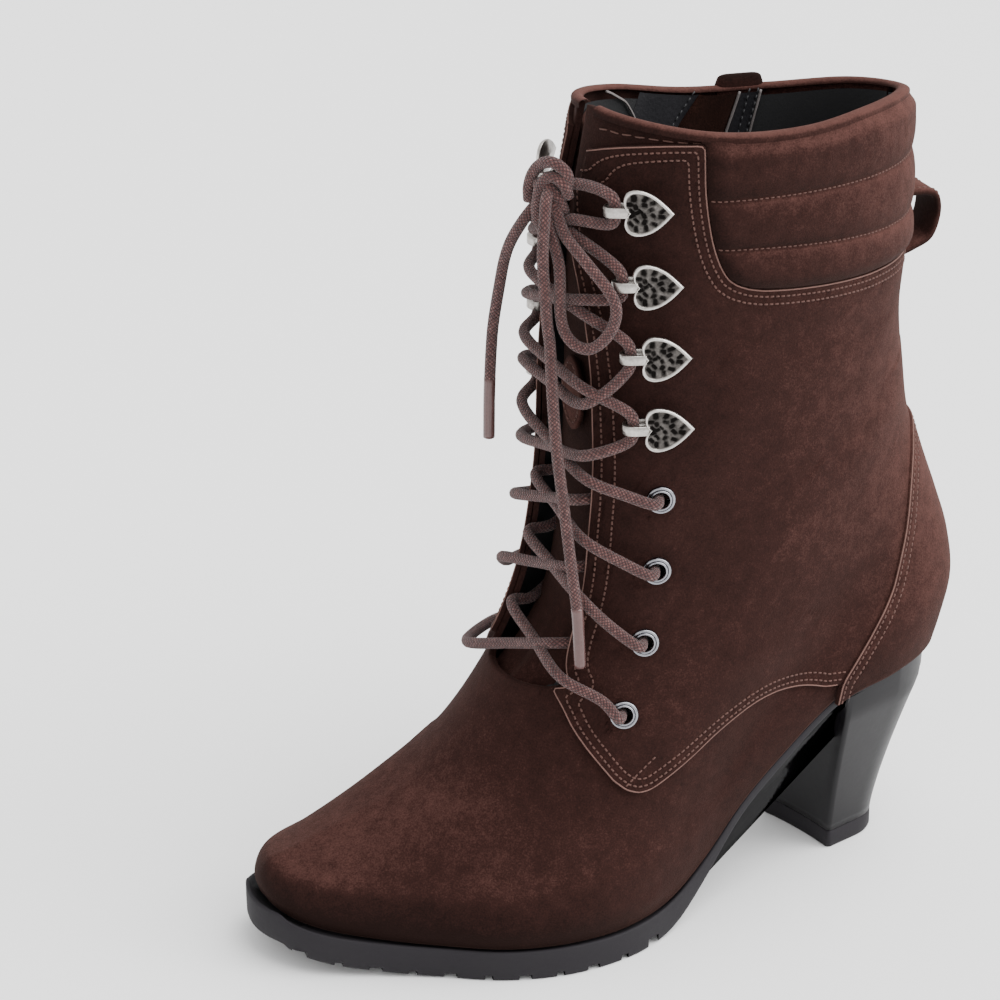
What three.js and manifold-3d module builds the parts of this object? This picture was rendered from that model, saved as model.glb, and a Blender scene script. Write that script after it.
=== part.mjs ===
// Ankle boot, left foot: laced to the collar, zipped on the inner side, on a block heel.
// Millimetres, +Z up, +X to the toe, +Y to the outer side of the foot.
// The origin is the middle of the heel tip, on the floor.
import * as THREE from 'three';
import { mergeVertices } from 'three/addons/utils/BufferGeometryUtils.js';
import Module from 'manifold-3d';

const wasm = await Module();
wasm.setup();
const { smoothstep, clamp, degToRad } = THREE.MathUtils;

// Last and shaft
const footLength = 216; // seat back to toe tip, along the floor
const ballWidth = 80; // widest across the ball
const seatBack = -29.5; // back edge of the heel seat
const lastShift = 2; // middle line of the last, outward from the heel tip
const seatHeight = 67; // top of the sole at the heel seat
const soleHeight = 10; // top of the sole at the ball
const toeSpring = 8.5; // lift of the toe tip
const collarBack = 240; // collar height at the back
const collarFront = 254; // collar height at the front
const collarWave = 7; // the collar is higher on the outer side, lower on the inner

// Materials and fits
const wall = 2; // suede and lining together
const fit = 0.3; // gap between pieces that touch
const quarterThickness = 1.4;
const counterThickness = 2;
const cuffSwell = 3; // how far the cuff pads stand off the shaft
const cuffDrop = 9; // the cuff's rows fall towards the back
const tongueThickness = 2.4;
const insoleThickness = 2.4;
const facingFlatness = 4; // how far the tongue lies behind the facings

// Sole and heel
const seatSole = 3; // sole thickness at the seat
const shankSole = 4; // sole thickness at the waist
const ledge = 1.8; // how far the sole stands out at the ball
const toeLedge = 2.2; // how much further it stands out at the toe
const lugPitch = 10.7;
const lugDepth = 1.8;
const wideLug = 3.8; // gap between lugs, every second one
const narrowLug = 2.4;
const heelTurn = degToRad(12); // the heel faces a little outward
const liftThickness = 6;

// Fastenings
const eyeletSpacing = 22.7;
const hookSpacing = 21.5;
const eyeletToHook = 24.5;
const firstRow = 77; // height of the lowest eyelet
const rowCount = 8;
const eyeletRows = 4;
const eyeletRadius = 4.3;
const eyeletBore = 2.3;
const eyeletTube = 2.6;
const eyeletFlange = 0.9;
const laceDiameter = 3.4;
const heartSize = 13.4;
const hookWidth = 3.4;
const hookMetal = 1.1;
const zipWidth = 9;
const zipTeeth = 4.6;

// Outline of the sole's top edge and of the lasted upper.
// along: share of footLength. outer, inner: shares of ballWidth from the middle line.
// rise: share of seatHeight over soleHeight. spring: share of toeSpring.
const lastOutline = [
  { along: 0.0, outer: 0.0, inner: 0.0, rise: 1.0, spring: 0 },
  { along: 0.04, outer: 0.206, inner: -0.2, rise: 0.991, spring: 0 },
  { along: 0.12, outer: 0.306, inner: -0.281, rise: 0.965, spring: 0 },
  { along: 0.21, outer: 0.331, inner: -0.288, rise: 0.886, spring: 0 },
  { along: 0.29, outer: 0.331, inner: -0.262, rise: 0.649, spring: 0 },
  { along: 0.36, outer: 0.338, inner: -0.256, rise: 0.412, spring: 0 },
  { along: 0.42, outer: 0.356, inner: -0.275, rise: 0.167, spring: 0 },
  { along: 0.48, outer: 0.406, inner: -0.325, rise: 0.035, spring: 0 },
  { along: 0.56, outer: 0.475, inner: -0.412, rise: 0, spring: 0 },
  { along: 0.65, outer: 0.485, inner: -0.481, rise: 0, spring: 0 },
  { along: 0.74, outer: 0.412, inner: -0.512, rise: 0, spring: 0 },
  { along: 0.82, outer: 0.272, inner: -0.506, rise: 0, spring: 0.035 },
  { along: 0.9, outer: 0.135, inner: -0.475, rise: 0, spring: 0.235 },
  { along: 0.96, outer: 0.025, inner: -0.412, rise: 0, spring: 0.53 },
  { along: 1.0, outer: -0.2, inner: -0.2, rise: 0, spring: 1 },
];
const outerBall = 0.485; // widest outer and inner shares in the outline
const innerBall = 0.512;

// Sections of the upper, from the feather edge up to the collar.
// up: section number as a share. front, back: shares of footLength from the seat back.
// frontRise: share of collarFront over the toe. backRise: share of collarBack over the seat.
// swing: sideways place of the front, share of ballWidth. outer, inner: half widths.
// skew: moves the widest place forward. level: 0 follows the sole, 1 is one flat plane.
// lasted: 1 has the sole's outline, 0 is an oval.
const sections = [
  { up: 0.0, front: 1.0, frontRise: 0.0, swing: -0.2, back: 0.0, backRise: 0.0,
    outer: 0.485, inner: 0.512, skew: 0.25, level: 0.0, lasted: 1.0 },
  { up: 0.06, front: 1.006, frontRise: 0.023, swing: -0.2, back: -0.012, backRise: 0.052,
    outer: 0.504, inner: 0.525, skew: 0.25, level: 0.0, lasted: 1.0 },
  { up: 0.12, front: 0.995, frontRise: 0.049, swing: -0.2, back: -0.025, backRise: 0.11,
    outer: 0.504, inner: 0.506, skew: 0.25, level: 0.05, lasted: 0.9 },
  { up: 0.2, front: 0.951, frontRise: 0.064, swing: -0.187, back: -0.02, backRise: 0.185,
    outer: 0.481, inner: 0.462, skew: 0.22, level: 0.2, lasted: 0.7 },
  { up: 0.29, front: 0.863, frontRise: 0.094, swing: -0.162, back: 0, backRise: 0.266,
    outer: 0.462, inner: 0.438, skew: 0.18, level: 0.5, lasted: 0.4 },
  { up: 0.38, front: 0.766, frontRise: 0.14, swing: -0.112, back: 0.027, backRise: 0.358,
    outer: 0.45, inner: 0.425, skew: 0.12, level: 0.8, lasted: 0.15 },
  { up: 0.47, front: 0.688, frontRise: 0.231, swing: -0.062, back: 0.051, backRise: 0.451,
    outer: 0.431, inner: 0.419, skew: 0.06, level: 1.0, lasted: 0.0 },
  { up: 0.56, front: 0.637, frontRise: 0.342, swing: -0.025, back: 0.066, backRise: 0.555,
    outer: 0.419, inner: 0.406, skew: 0.0, level: 1.0, lasted: 0.0 },
  { up: 0.67, front: 0.613, frontRise: 0.482, swing: 0, back: 0.074, backRise: 0.665,
    outer: 0.412, inner: 0.4, skew: 0.0, level: 1.0, lasted: 0.0 },
  { up: 0.78, front: 0.6, frontRise: 0.643, swing: 0, back: 0.068, backRise: 0.769,
    outer: 0.419, inner: 0.406, skew: 0.0, level: 1.0, lasted: 0.0 },
  { up: 0.89, front: 0.576, frontRise: 0.826, swing: 0, back: 0.07, backRise: 0.879,
    outer: 0.425, inner: 0.419, skew: 0.0, level: 1.0, lasted: 0.0 },
  { up: 1.0, front: 0.535, frontRise: 1.0, swing: 0, back: 0.07, backRise: 1.0,
    outer: 0.431, inner: 0.431, skew: 0.15, level: 1.0, lasted: 0.0 },
];

// Lift of the collar's edge over its sloping plane, as a share of collarWave.
// round: 0 at the front, 1 at the back.
const collarLift = [
  { round: 0, outer: 0.3, inner: 0.3 },
  { round: 0.167, outer: 0.36, inner: -0.15 },
  { round: 0.333, outer: 0.36, inner: -0.6 },
  { round: 0.5, outer: 0.6, inner: -1 },
  { round: 0.667, outer: 1, inner: -0.6 },
  { round: 0.833, outer: 1, inner: 0.1 },
  { round: 1, outer: 0.57, inner: 0.57 },
];

// Half the opening between the facings. rise: share of the shaft's height over the seat.
const throat = [
  { rise: 1.3, half: 0.025 },
  { rise: 1.0, half: 0.044 },
  { rise: 0.91, half: 0.094 },
  { rise: 0.79, half: 0.154 },
  { rise: 0.68, half: 0.181 },
  { rise: 0.57, half: 0.202 },
  { rise: 0.47, half: 0.21 },
  { rise: 0.33, half: 0.207 },
  { rise: 0.24, half: 0.2 },
  { rise: 0.17, half: 0.195 },
  { rise: 0.13, half: 0.206 },
  { rise: 0.1, half: 0.238 },
];
const throatBase = 0.088; // rise of the vamp's edge under the tongue

// Side outlines. along: share of footLength. rise: share of the shaft's height.
// innerShift: how far the point lies further back on the inner side, behind the zip.
const quarterOutline = [
  { along: 0.557, rise: -0.098 },
  { along: 0.613, rise: 0.016 },
  { along: 0.624, rise: 0.078 },
  { along: 0.64, rise: 0.13 },
  { along: 0.76, rise: 0.16 },
  { along: 0.76, rise: 0.985 },
  { along: 0.56, rise: 0.99 },
  { along: 0.55, rise: 1.025 },
  { along: 0.53, rise: 1.05 },
  { along: 0.49, rise: 1.064 },
  { along: 0.442, rise: 1.066, innerShift: 0.262 },
  { along: 0.441, rise: 0.966, innerShift: 0.262 },
  { along: 0.427, rise: 0.862, innerShift: 0.262 },
  { along: 0.4, rise: 0.808, innerShift: 0.262 },
  { along: 0.3, rise: 0.79, innerShift: 0.2 },
  { along: 0.12, rise: 0.765, innerShift: 0.07 },
  { along: -0.2, rise: 0.745 },
  { along: -0.2, rise: -0.02 },
  { along: 0.21, rise: -0.005 },
  { along: 0.27, rise: 0.021 },
  { along: 0.342, rise: 0.028 },
  { along: 0.412, rise: 0 },
  { along: 0.479, rise: -0.052 },
];
const counterOutline = [
  { along: -0.2, rise: 0.455 },
  { along: 0.05, rise: 0.445 },
  { along: 0.077, rise: 0.349 },
  { along: 0.091, rise: 0.256 },
  { along: 0.107, rise: 0.198 },
  { along: 0.126, rise: 0.139 },
  { along: 0.162, rise: 0.083 },
  { along: 0.195, rise: 0.028 },
  { along: 0.214, rise: -0.003 },
  { along: 0.21, rise: -0.2 },
  { along: -0.2, rise: -0.2 },
];
// Pads of the cuff, as channels between stitch rows. rise: as above. swell: share of cuffSwell.
const cuffRows = [
  { rise: 0.8, swell: 0.12 },
  { rise: 0.818, swell: 0.85 },
  { rise: 0.85, swell: 1.0 },
  { rise: 0.884, swell: 0.5 },
  { rise: 0.925, swell: 1.0 },
  { rise: 0.968, swell: 0.5 },
  { rise: 1.01, swell: 1.0 },
  { rise: 1.1, swell: 0.6 },
];
// Line of the eyelets and hooks on the facing.
const rowLine = [
  { rise: 0.0, along: 0.57 },
  { rise: 0.058, along: 0.553 },
  { rise: 0.18, along: 0.52 },
  { rise: 0.31, along: 0.501 },
  { rise: 0.445, along: 0.496 },
  { rise: 0.7, along: 0.494 },
  { rise: 0.826, along: 0.5 },
  { rise: 0.95, along: 0.504 },
  { rise: 1.1, along: 0.51 },
];
// Zip on the inner side, from the collar down to the arch.
const zipLine = [
  { rise: 1.12, along: 0.235 },
  { rise: 0.8, along: 0.24 },
  { rise: 0.5, along: 0.25 },
  { rise: 0.25, along: 0.275 },
  { rise: 0.06, along: 0.31 },
];

// Section numbers and meridians that the solids are faceted with
const meridians = 32;
const levels = [0, 0.04, 0.09, 0.15, 0.22, 0.3, 0.38, 0.47, 0.57, 0.68, 0.79, 0.9, 1];

// Smooth value of a table's column at one place.
function smooth(table, key, column, at) {
  const last = table.length - 2;
  let i = 0;
  const rising = table[1][key] > table[0][key];
  while (i < last && (rising ? at > table[i + 1][key] : at < table[i + 1][key])) i += 1;
  const slope = (k) => {
    if (k === 0) return (table[1][column] - table[0][column]) / (table[1][key] - table[0][key]);
    if (k === table.length - 1) {
      return (table[k][column] - table[k - 1][column]) / (table[k][key] - table[k - 1][key]);
    }
    const before = table[k][key] - table[k - 1][key];
    const after = table[k + 1][key] - table[k][key];
    const left = (table[k][column] - table[k - 1][column]) / before;
    const right = (table[k + 1][column] - table[k][column]) / after;
    return (left * after + right * before) / (before + after);
  };
  const span = table[i + 1][key] - table[i][key];
  const u = clamp((at - table[i][key]) / span, 0, 1);
  const u2 = u * u;
  const u3 = u2 * u;
  return (
    (2 * u3 - 3 * u2 + 1) * table[i][column] +
    (u3 - 2 * u2 + u) * span * slope(i) +
    (3 * u2 - 2 * u3) * table[i + 1][column] +
    (u3 - u2) * span * slope(i + 1)
  );
}

const outlineByAngle = lastOutline.map((row) => ({ ...row, angle: Math.acos(1 - 2 * row.along) }));
const alongX = (share) => seatBack + share * footLength;
const riseZ = (share) => seatHeight + share * (collarBack - seatHeight);
const outlineAt = (along, column) =>
  smooth(outlineByAngle, 'angle', column, Math.acos(1 - 2 * clamp(along, 0, 1)));
const soleTop = (along) =>
  soleHeight + outlineAt(along, 'rise') * (seatHeight - soleHeight) +
  outlineAt(along, 'spring') * toeSpring;

// A point of the upper's outer face. turn: 0 at the toe, positive round the outer side.
function formPoint(turn, up) {
  const row = {};
  for (const column of Object.keys(sections[0])) row[column] = smooth(sections, 'up', column, up);
  const wrapped = Math.atan2(Math.sin(turn), Math.cos(turn));
  const angle = Math.abs(wrapped);
  const outward = wrapped >= 0;
  const share = (1 + Math.cos(angle)) / 2;
  const front = alongX(row.front);
  const back = alongX(row.back);
  const toeHeight = soleHeight + toeSpring;
  const frontZ = toeHeight + row.frontRise * (collarFront - toeHeight);
  const backZ = riseZ(row.backRise);
  const tip = row.swing * share * share;
  const half = outward ? row.outer : row.inner;
  const widest = outward ? outerBall : innerBall;
  const toeShift = lastOutline[lastOutline.length - 1].outer * share * share;
  const lasted = ((outlineAt(share, outward ? 'outer' : 'inner') - toeShift) * half) / widest + tip;
  const oval = (outward ? 1 : -1) * half * Math.sin(angle + row.skew * Math.sin(angle)) + tip;
  const y = (row.lasted * lasted + (1 - row.lasted) * oval) * ballWidth + lastShift;
  const plane = backZ + (frontZ - backZ) * share;
  const lift = (backZ - seatHeight) * (1 - share) + (frontZ - toeHeight) * share;
  const edge = smooth(collarLift, 'round', outward ? 'outer' : 'inner', angle / Math.PI);
  const wave = edge * collarWave * smoothstep(up, 0.72, 1);
  const z = row.level * plane + (1 - row.level) * (soleTop(share) + lift) + wave;
  return new THREE.Vector3(back + (front - back) * share, y, z);
}

function formNormal(turn, up) {
  const step = 1e-3;
  const low = Math.max(up - step, 0);
  const high = Math.min(up + step, 1);
  const across = formPoint(turn + step, up).sub(formPoint(turn - step, up));
  const upward = formPoint(turn, high).sub(formPoint(turn, low));
  return across.cross(upward).normalize();
}

const offsetPoint = (turn, up, offset) =>
  formPoint(turn, up).addScaledVector(formNormal(turn, up), offset);

// The section number at which one meridian reaches a height.
function upAtHeight(turn, z) {
  let low = 0;
  let high = 1;
  for (let k = 0; k < 30; k += 1) {
    const middle = (low + high) / 2;
    if (formPoint(turn, middle).z < z) low = middle;
    else high = middle;
  }
  return (low + high) / 2;
}

// The place on the upper that is seen at x and z from the side: its point, normal and turn.
function placeOnSide(x, z, side) {
  let low = 0;
  let high = Math.PI;
  for (let k = 0; k < 30; k += 1) {
    const middle = (low + high) / 2;
    const turn = middle * side;
    if (formPoint(turn, upAtHeight(turn, z)).x > x) low = middle;
    else high = middle;
  }
  const turn = ((low + high) / 2) * side;
  const up = upAtHeight(turn, z);
  return { turn, up, point: formPoint(turn, up), normal: formNormal(turn, up) };
}

// The place on the upper's front at a height and a distance from the middle line
function placeInFront(z, y) {
  const side = y < 0 ? -1 : 1;
  let low = 0;
  let high = Math.PI / 2;
  for (let k = 0; k < 24; k += 1) {
    const middle = ((low + high) / 2) * side;
    const point = formPoint(middle, upAtHeight(middle, z));
    if ((point.y - lastShift) * side < Math.abs(y)) low = (low + high) / 2;
    else high = (low + high) / 2;
  }
  const turn = ((low + high) / 2) * side;
  const up = upAtHeight(turn, z);
  return { turn, up, point: formPoint(turn, up), normal: formNormal(turn, up) };
}

// Solids from three.js geometries and back
function toSolid(geometry) {
  const bare = geometry.clone();
  bare.deleteAttribute('normal');
  bare.deleteAttribute('uv');
  const merged = mergeVertices(bare, 1e-4);
  return new wasm.Manifold(
    new wasm.Mesh({
      numProp: 3,
      vertProperties: new Float32Array(merged.attributes.position.array),
      triVerts: new Uint32Array(merged.index.array),
    }),
  );
}

function toGeometry(solid) {
  const mesh = solid.getMesh();
  const geometry = new THREE.BufferGeometry();
  geometry.setAttribute('position', new THREE.BufferAttribute(mesh.vertProperties, 3));
  geometry.setIndex(new THREE.BufferAttribute(mesh.triVerts, 1));
  return geometry;
}

function joined(geometries) {
  return geometries.map(toSolid).reduce((whole, solid) => whole.add(solid));
}

// A closed geometry from rows of points. Rows close on themselves when ring is true.
// Bands from the row number turned on are split along their other diagonal.
function gridGeometry(rows, ring, turned = rows.length) {
  const positions = rows.flat().flatMap((point) => [point.x, point.y, point.z]);
  const count = rows[0].length;
  const index = [];
  for (let i = 0; i + 1 < rows.length; i += 1) {
    for (let j = 0; j < (ring ? count : count - 1); j += 1) {
      const a = i * count + j;
      const b = i * count + ((j + 1) % count);
      if (i < turned) index.push(a, b, b + count, a, b + count, a + count);
      else index.push(a, b, a + count, b, b + count, a + count);
    }
  }
  const geometry = new THREE.BufferGeometry();
  geometry.setAttribute('position', new THREE.Float32BufferAttribute(positions, 3));
  geometry.setIndex(index);
  return geometry;
}

// A shell round the whole form, between two offsets and two section numbers.
function shell(inner, outer, rowsUp = levels) {
  const turns = Array.from({ length: meridians }, (_, k) => (k * 2 * Math.PI) / meridians);
  const face = (offset) => rowsUp.map((up) => turns.map((turn) => offsetPoint(turn, up, offset)));
  const outside = face(outer);
  const inside = face(inner).reverse();
  return toSolid(gridGeometry([...outside, ...inside, outside[0]], true, rowsUp.length));
}

// A sheet with thickness, from its front and back faces as rows of points.
function slab(front, back) {
  const rows = front.map((row, i) => [...row, ...back[i].slice().reverse()]);
  const body = gridGeometry(rows, true);
  const index = Array.from(body.index.array);
  const count = rows[0].length;
  const half = count / 2;
  const last = (rows.length - 1) * count;
  for (let j = 0; j + 1 < half; j += 1) {
    const k = count - 1 - j;
    index.push(j, k, j + 1, k, k - 1, j + 1);
    index.push(last + j, last + j + 1, last + k, last + k, last + j + 1, last + k - 1);
  }
  body.setIndex(index);
  return body;
}

function prism(points, depth) {
  const shape = new THREE.Shape(points.map(([a, b]) => new THREE.Vector2(a, b)));
  return new THREE.ExtrudeGeometry(shape, { depth, bevelEnabled: false });
}

// Prisms whose outline is seen from the side, the front or the top
function sidePrism(points, low, high) {
  return prism(points, high - low).rotateX(Math.PI / 2).translate(0, high, 0);
}

function frontPrism(points, low, high) {
  const turned = new THREE.Matrix4().set(0, 0, 1, low, 1, 0, 0, 0, 0, 1, 0, 0, 0, 0, 0, 1);
  return prism(points, high - low).applyMatrix4(turned);
}

const topPrism = (points, low, high) => prism(points, high - low).translate(0, 0, low);

// A tube of round section along a smooth path.
function tube(points, diameter, steps, sides = 6) {
  const path = new THREE.CatmullRomCurve3(points, false, 'centripetal');
  const circle = new THREE.Shape(
    Array.from({ length: sides }, (_, k) => {
      const angle = (k * 2 * Math.PI) / sides;
      return new THREE.Vector2(Math.cos(angle), Math.sin(angle)).multiplyScalar(diameter / 2);
    }),
  );
  return new THREE.ExtrudeGeometry(circle, { steps, extrudePath: path, bevelEnabled: false });
}

// The frame of something fastened on the surface: x to the throat, z outward.
function fastenedFrame(place, offset) {
  const outward = place.normal.clone();
  const toThroat = new THREE.Vector3(1, 0, 0).addScaledVector(outward, -outward.x).normalize();
  const upward = new THREE.Vector3().crossVectors(outward, toThroat);
  const origin = place.point.clone().addScaledVector(outward, offset);
  return new THREE.Matrix4().makeBasis(toThroat, upward, outward).setPosition(origin);
}

const sideOutline = (table, inner = false) =>
  table.map((row) => [alongX(row.along - (inner ? row.innerShift ?? 0 : 0)), riseZ(row.rise)]);
const reach = ballWidth; // half the depth of a cutting prism
const faceOffset = fit + quarterThickness; // outer face of the quarters
const metalSeat = faceOffset + fit + 0.2; // under the eyelets and hooks

// Rows of the eyelets and hooks, walked along the row line
function rowPlaces(side) {
  const lineX = (z) =>
    alongX(smooth(rowLine, 'rise', 'along', (z - seatHeight) / (collarBack - seatHeight)));
  const places = [];
  let z = firstRow;
  let x = lineX(z);
  const step = 0.25;
  for (let row = 0; row < rowCount; row += 1) {
    places.push(placeOnSide(x, z, side));
    const last = row + 1 === eyeletRows;
    const spacing = last ? eyeletToHook : row < eyeletRows ? eyeletSpacing : hookSpacing;
    let walked = 0;
    while (walked < spacing) {
      const nextX = lineX(z + step);
      walked += Math.hypot(nextX - x, step);
      x = nextX;
      z += step;
    }
  }
  return places;
}
const rows = { outer: rowPlaces(1), inner: rowPlaces(-1) };

// Cutters for the throat
function throatPrism(base) {
  const right = throat.filter((row) => row.rise > base);
  const outline = right.map((row) => [row.half * ballWidth, riseZ(row.rise)]);
  const low = riseZ(base);
  const foot = smooth(throat, 'rise', 'half', base) * ballWidth;
  const round = [
    [foot * 0.9, low + 2],
    [foot * 0.6, low],
  ];
  const rightSide = [...outline, ...round];
  const leftSide = rightSide.map(([y, z]) => [-y, z]).reverse();
  const points = [...rightSide, ...leftSide].map(([y, z]) => [y + lastShift, z]);
  return toSolid(frontPrism(points, alongX(0.3), alongX(0.8)));
}

function eyeletHoles(side) {
  const drill = new THREE.CylinderGeometry(eyeletTube + fit, eyeletTube + fit, 14, 8);
  drill.rotateX(Math.PI / 2);
  const places = rows[side].slice(0, eyeletRows);
  return joined(places.map((place) => drill.clone().applyMatrix4(fastenedFrame(place, 0))));
}

const holes = { outer: eyeletHoles('outer'), inner: eyeletHoles('inner') };
const baseShell = shell(-wall, 0);
const upper = baseShell
  .subtract(throatPrism(throatBase))
  .subtract(holes.outer)
  .subtract(holes.inner);

// Sole: its outline from above, cut with its profile from the side
const stationTurns = Array.from({ length: meridians }, (_, k) => (k * 2 * Math.PI) / meridians);
const ledgeAt = (along) =>
  ledge * smoothstep(along, 0.3, 0.56) +
  toeLedge * smoothstep(along, 0.8, 1);
function plan(extraAt) {
  const points = stationTurns.map((turn) => formPoint(turn, 0));
  return points.map((point, k) => {
    const before = points[(k + meridians - 1) % meridians];
    const after = points[(k + 1) % meridians];
    const outward = new THREE.Vector2(after.y - before.y, before.x - after.x).normalize();
    const extra = extraAt((point.x - seatBack) / footLength);
    return [point.x + outward.x * extra, point.y + outward.y * extra];
  });
}
const stations = Array.from({ length: meridians / 2 + 1 }, (_, k) =>
  (1 - Math.cos((k * 2 * Math.PI) / meridians)) / 2);
const soleDepth = (along) =>
  seatSole + (shankSole - seatSole) * smoothstep(along, 0.2, 0.34) +
  (soleHeight - fit - shankSole) * smoothstep(along, 0.34, 0.5);
const soleUnder = (along) => Math.max(0, soleTop(along) - fit - soleDepth(along));

function soleBand(topAt, underAt, extend) {
  const places = stations.map((along, k) => {
    const outward = k === 0 ? -extend : k === stations.length - 1 ? extend : 0;
    return { along, x: alongX(along) + outward };
  });
  const top = places.map(({ along, x }) => [x, topAt(along)]);
  const under = places.map(({ along, x }) => [x, underAt(along)]).reverse();
  return toSolid(sidePrism([...top, ...under], -reach, reach));
}

// Overlays, cut from shells of the same form
const quarterShell = shell(fit, faceOffset);
const counterCut = toSolid(sidePrism(sideOutline(counterOutline), -reach, reach));
const counterGap = toSolid(
  sidePrism(
    sideOutline(counterOutline).map(([x, z]) => [x + fit, z + fit]),
    -reach,
    reach,
  ),
);
const aboveSole = soleBand(() => collarBack, (along) => soleTop(along) + fit, 20);
const counter = shell(fit, fit + counterThickness, levels.slice(0, 11))
  .intersect(counterCut)
  .intersect(aboveSole);

function zipOutline(half) {
  const edge = (shift) => zipLine.map((row) => [alongX(row.along) + shift, riseZ(row.rise)]);
  return [...edge(-half), ...edge(half).reverse()];
}
const zipSlot = toSolid(sidePrism(zipOutline(zipWidth / 2 + fit), -reach, 0));

const quarterCut = (side, extra) => {
  const table = sideOutline(quarterOutline, side === 'inner');
  const corners = table.map(([x, z]) => new THREE.Vector2(x, z));
  const grown = corners.map((corner, k) => {
    const before = corners[(k + corners.length - 1) % corners.length];
    const after = corners[(k + 1) % corners.length];
    const along = after.clone().sub(before).normalize();
    return [corner.x + along.y * extra, corner.y - along.x * extra];
  });
  const near = side === 'outer' ? lastShift + fit - extra : -reach;
  const far = side === 'outer' ? reach : lastShift - fit + extra;
  return toSolid(sidePrism(grown, near, far));
};

function quarter(side) {
  const panel = quarterShell
    .intersect(quarterCut(side, 0))
    .subtract(throatPrism(throatBase + 0.002))
    .subtract(counterGap)
    .subtract(holes[side]);
  return side === 'inner' ? panel.subtract(zipSlot) : panel;
}

// The cuff: pads in channels round the back, under both quarters
function cuffGeometry() {
  const middleRise = 0.92;
  const outerX = alongX(smooth(quarterOutline.slice(10, 14), 'rise', 'along', middleRise));
  const outerEdge = placeOnSide(outerX, riseZ(middleRise), 1).turn;
  const innerX = outerX - 0.262 * footLength;
  const innerEdge = placeOnSide(innerX, riseZ(middleRise), -1).turn + 2 * Math.PI;
  const columns = 13;
  const face = (offsetAt) =>
    cuffRows.map((row) =>
      Array.from({ length: columns }, (_, k) => {
        const share = k / (columns - 1);
        const turn = outerEdge + (innerEdge - outerEdge) * share;
        const ends = Math.min(1, 5 * Math.min(share, 1 - share) + 0.15);
        const { x, z: top } = formPoint(turn, 0.995);
        const rearward = smoothstep(-x, -outerX, -seatBack);
        const z = Math.min(riseZ(row.rise) - cuffDrop * rearward, top);
        const up = upAtHeight(turn, row.rise > 1.05 ? top : z);
        return offsetPoint(turn, up, offsetAt(row, ends));
      }),
    );
  const outside = face((row, ends) => fit + 0.6 + cuffSwell * row.swell * ends);
  const inside = face(() => 2 * fit);
  return slab(outside, inside);
}
const cuff = toSolid(cuffGeometry())
  .subtract(quarterCut('outer', fit))
  .subtract(quarterCut('inner', fit));

// The tongue lies flat behind the facings and curls round to the sides
const throatHalf = (rise) => smooth(throat, 'rise', 'half', Math.max(rise, 0.1)) * ballWidth;
function tongueGeometry() {
  const heights = [0.03, 0.07, 0.12, 0.19, 0.29, 0.4, 0.52, 0.64, 0.76, 0.88, 0.97, 1.05];
  const halfWidth = 0.3 * ballWidth;
  const across = 9;
  const depthBehind = wall + 2 * fit;
  const faces = heights.map((rise) => {
    const z = riseZ(rise);
    const flat = placeInFront(z, throatHalf(rise)).point.x - facingFlatness;
    const seated = smoothstep(rise, 0.03, 0.2);
    return Array.from({ length: across }, (_, k) => {
      const share = -1 + (2 * k) / (across - 1);
      const y = share * halfWidth * (0.82 + 0.18 * Math.min(1, rise / 0.3));
      const place = placeInFront(z, y);
      const front = place.point.clone().addScaledVector(place.normal, -depthBehind);
      const sunk = Math.min(front.x, flat - 0.012 * y * y);
      front.x += (sunk - front.x) * seated;
      const inward = place.normal.clone().lerp(new THREE.Vector3(1, 0, 0), 1 - share * share);
      return [front, front.clone().addScaledVector(inward.normalize(), -tongueThickness)];
    });
  });
  return slab(
    faces.map((row) => row.map(([front]) => front)),
    faces.map((row) => row.map(([, back]) => back)),
  );
}

function lugGaps() {
  const gaps = [];
  for (let k = 0; k < 11; k += 1) {
    const x = alongX(0.488) + k * lugPitch;
    const width = k % 2 ? narrowLug : wideLug;
    const under = soleUnder((x - seatBack) / footLength);
    const bar = new THREE.BoxGeometry(width, 2 * reach, 2 * lugDepth);
    gaps.push(bar.rotateZ(-0.2).translate(x, 0, under));
  }
  return joined(gaps);
}

const outsole = toSolid(topPrism(plan(ledgeAt), -1, seatHeight + 20))
  .intersect(soleBand((along) => soleTop(along) - fit, soleUnder, 12))
  .subtract(lugGaps());
const insole = toSolid(topPrism(plan(() => -wall - 1), 0, seatHeight + 20)).intersect(
  soleBand((along) => soleTop(along) + insoleThickness, soleTop, 0),
);

// Heel: a loft from the tip up to the seat. Local x runs to the breast, y outward.
const heelTip = { centre: 0, breast: 11.5, back: 13.5, half: 15.6, sideways: -1.6 };
const heelTop = { centre: -6, breast: 23.5, back: 23, half: 28, sideways: 0 };
function heelRing(share, z) {
  const mixed = (key) => heelTip[key] + (heelTop[key] - heelTip[key]) * share ** 1.3;
  const corner = 1.4;
  const half = mixed('half');
  const breast = mixed('breast');
  const arc = Array.from({ length: 13 }, (_, k) => {
    const angle = Math.PI / 2 + (k * Math.PI) / 12;
    const power = 0.86;
    const shape = (value) => Math.sign(value) * Math.abs(value) ** power;
    return [mixed('back') * shape(Math.cos(angle)), half * shape(Math.sin(angle))];
  });
  const flat = [
    [breast - corner, -half],
    [breast, -half + corner],
    [breast, half - corner],
    [breast - corner, half],
  ];
  return [...arc, ...flat].map(([a, b]) => {
    const x = a + mixed('centre');
    const turned = new THREE.Vector2(x, b + mixed('sideways')).rotateAround(
      new THREE.Vector2(0, 0),
      heelTurn,
    );
    return new THREE.Vector3(turned.x, turned.y + lastShift * share, z);
  });
}

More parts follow.
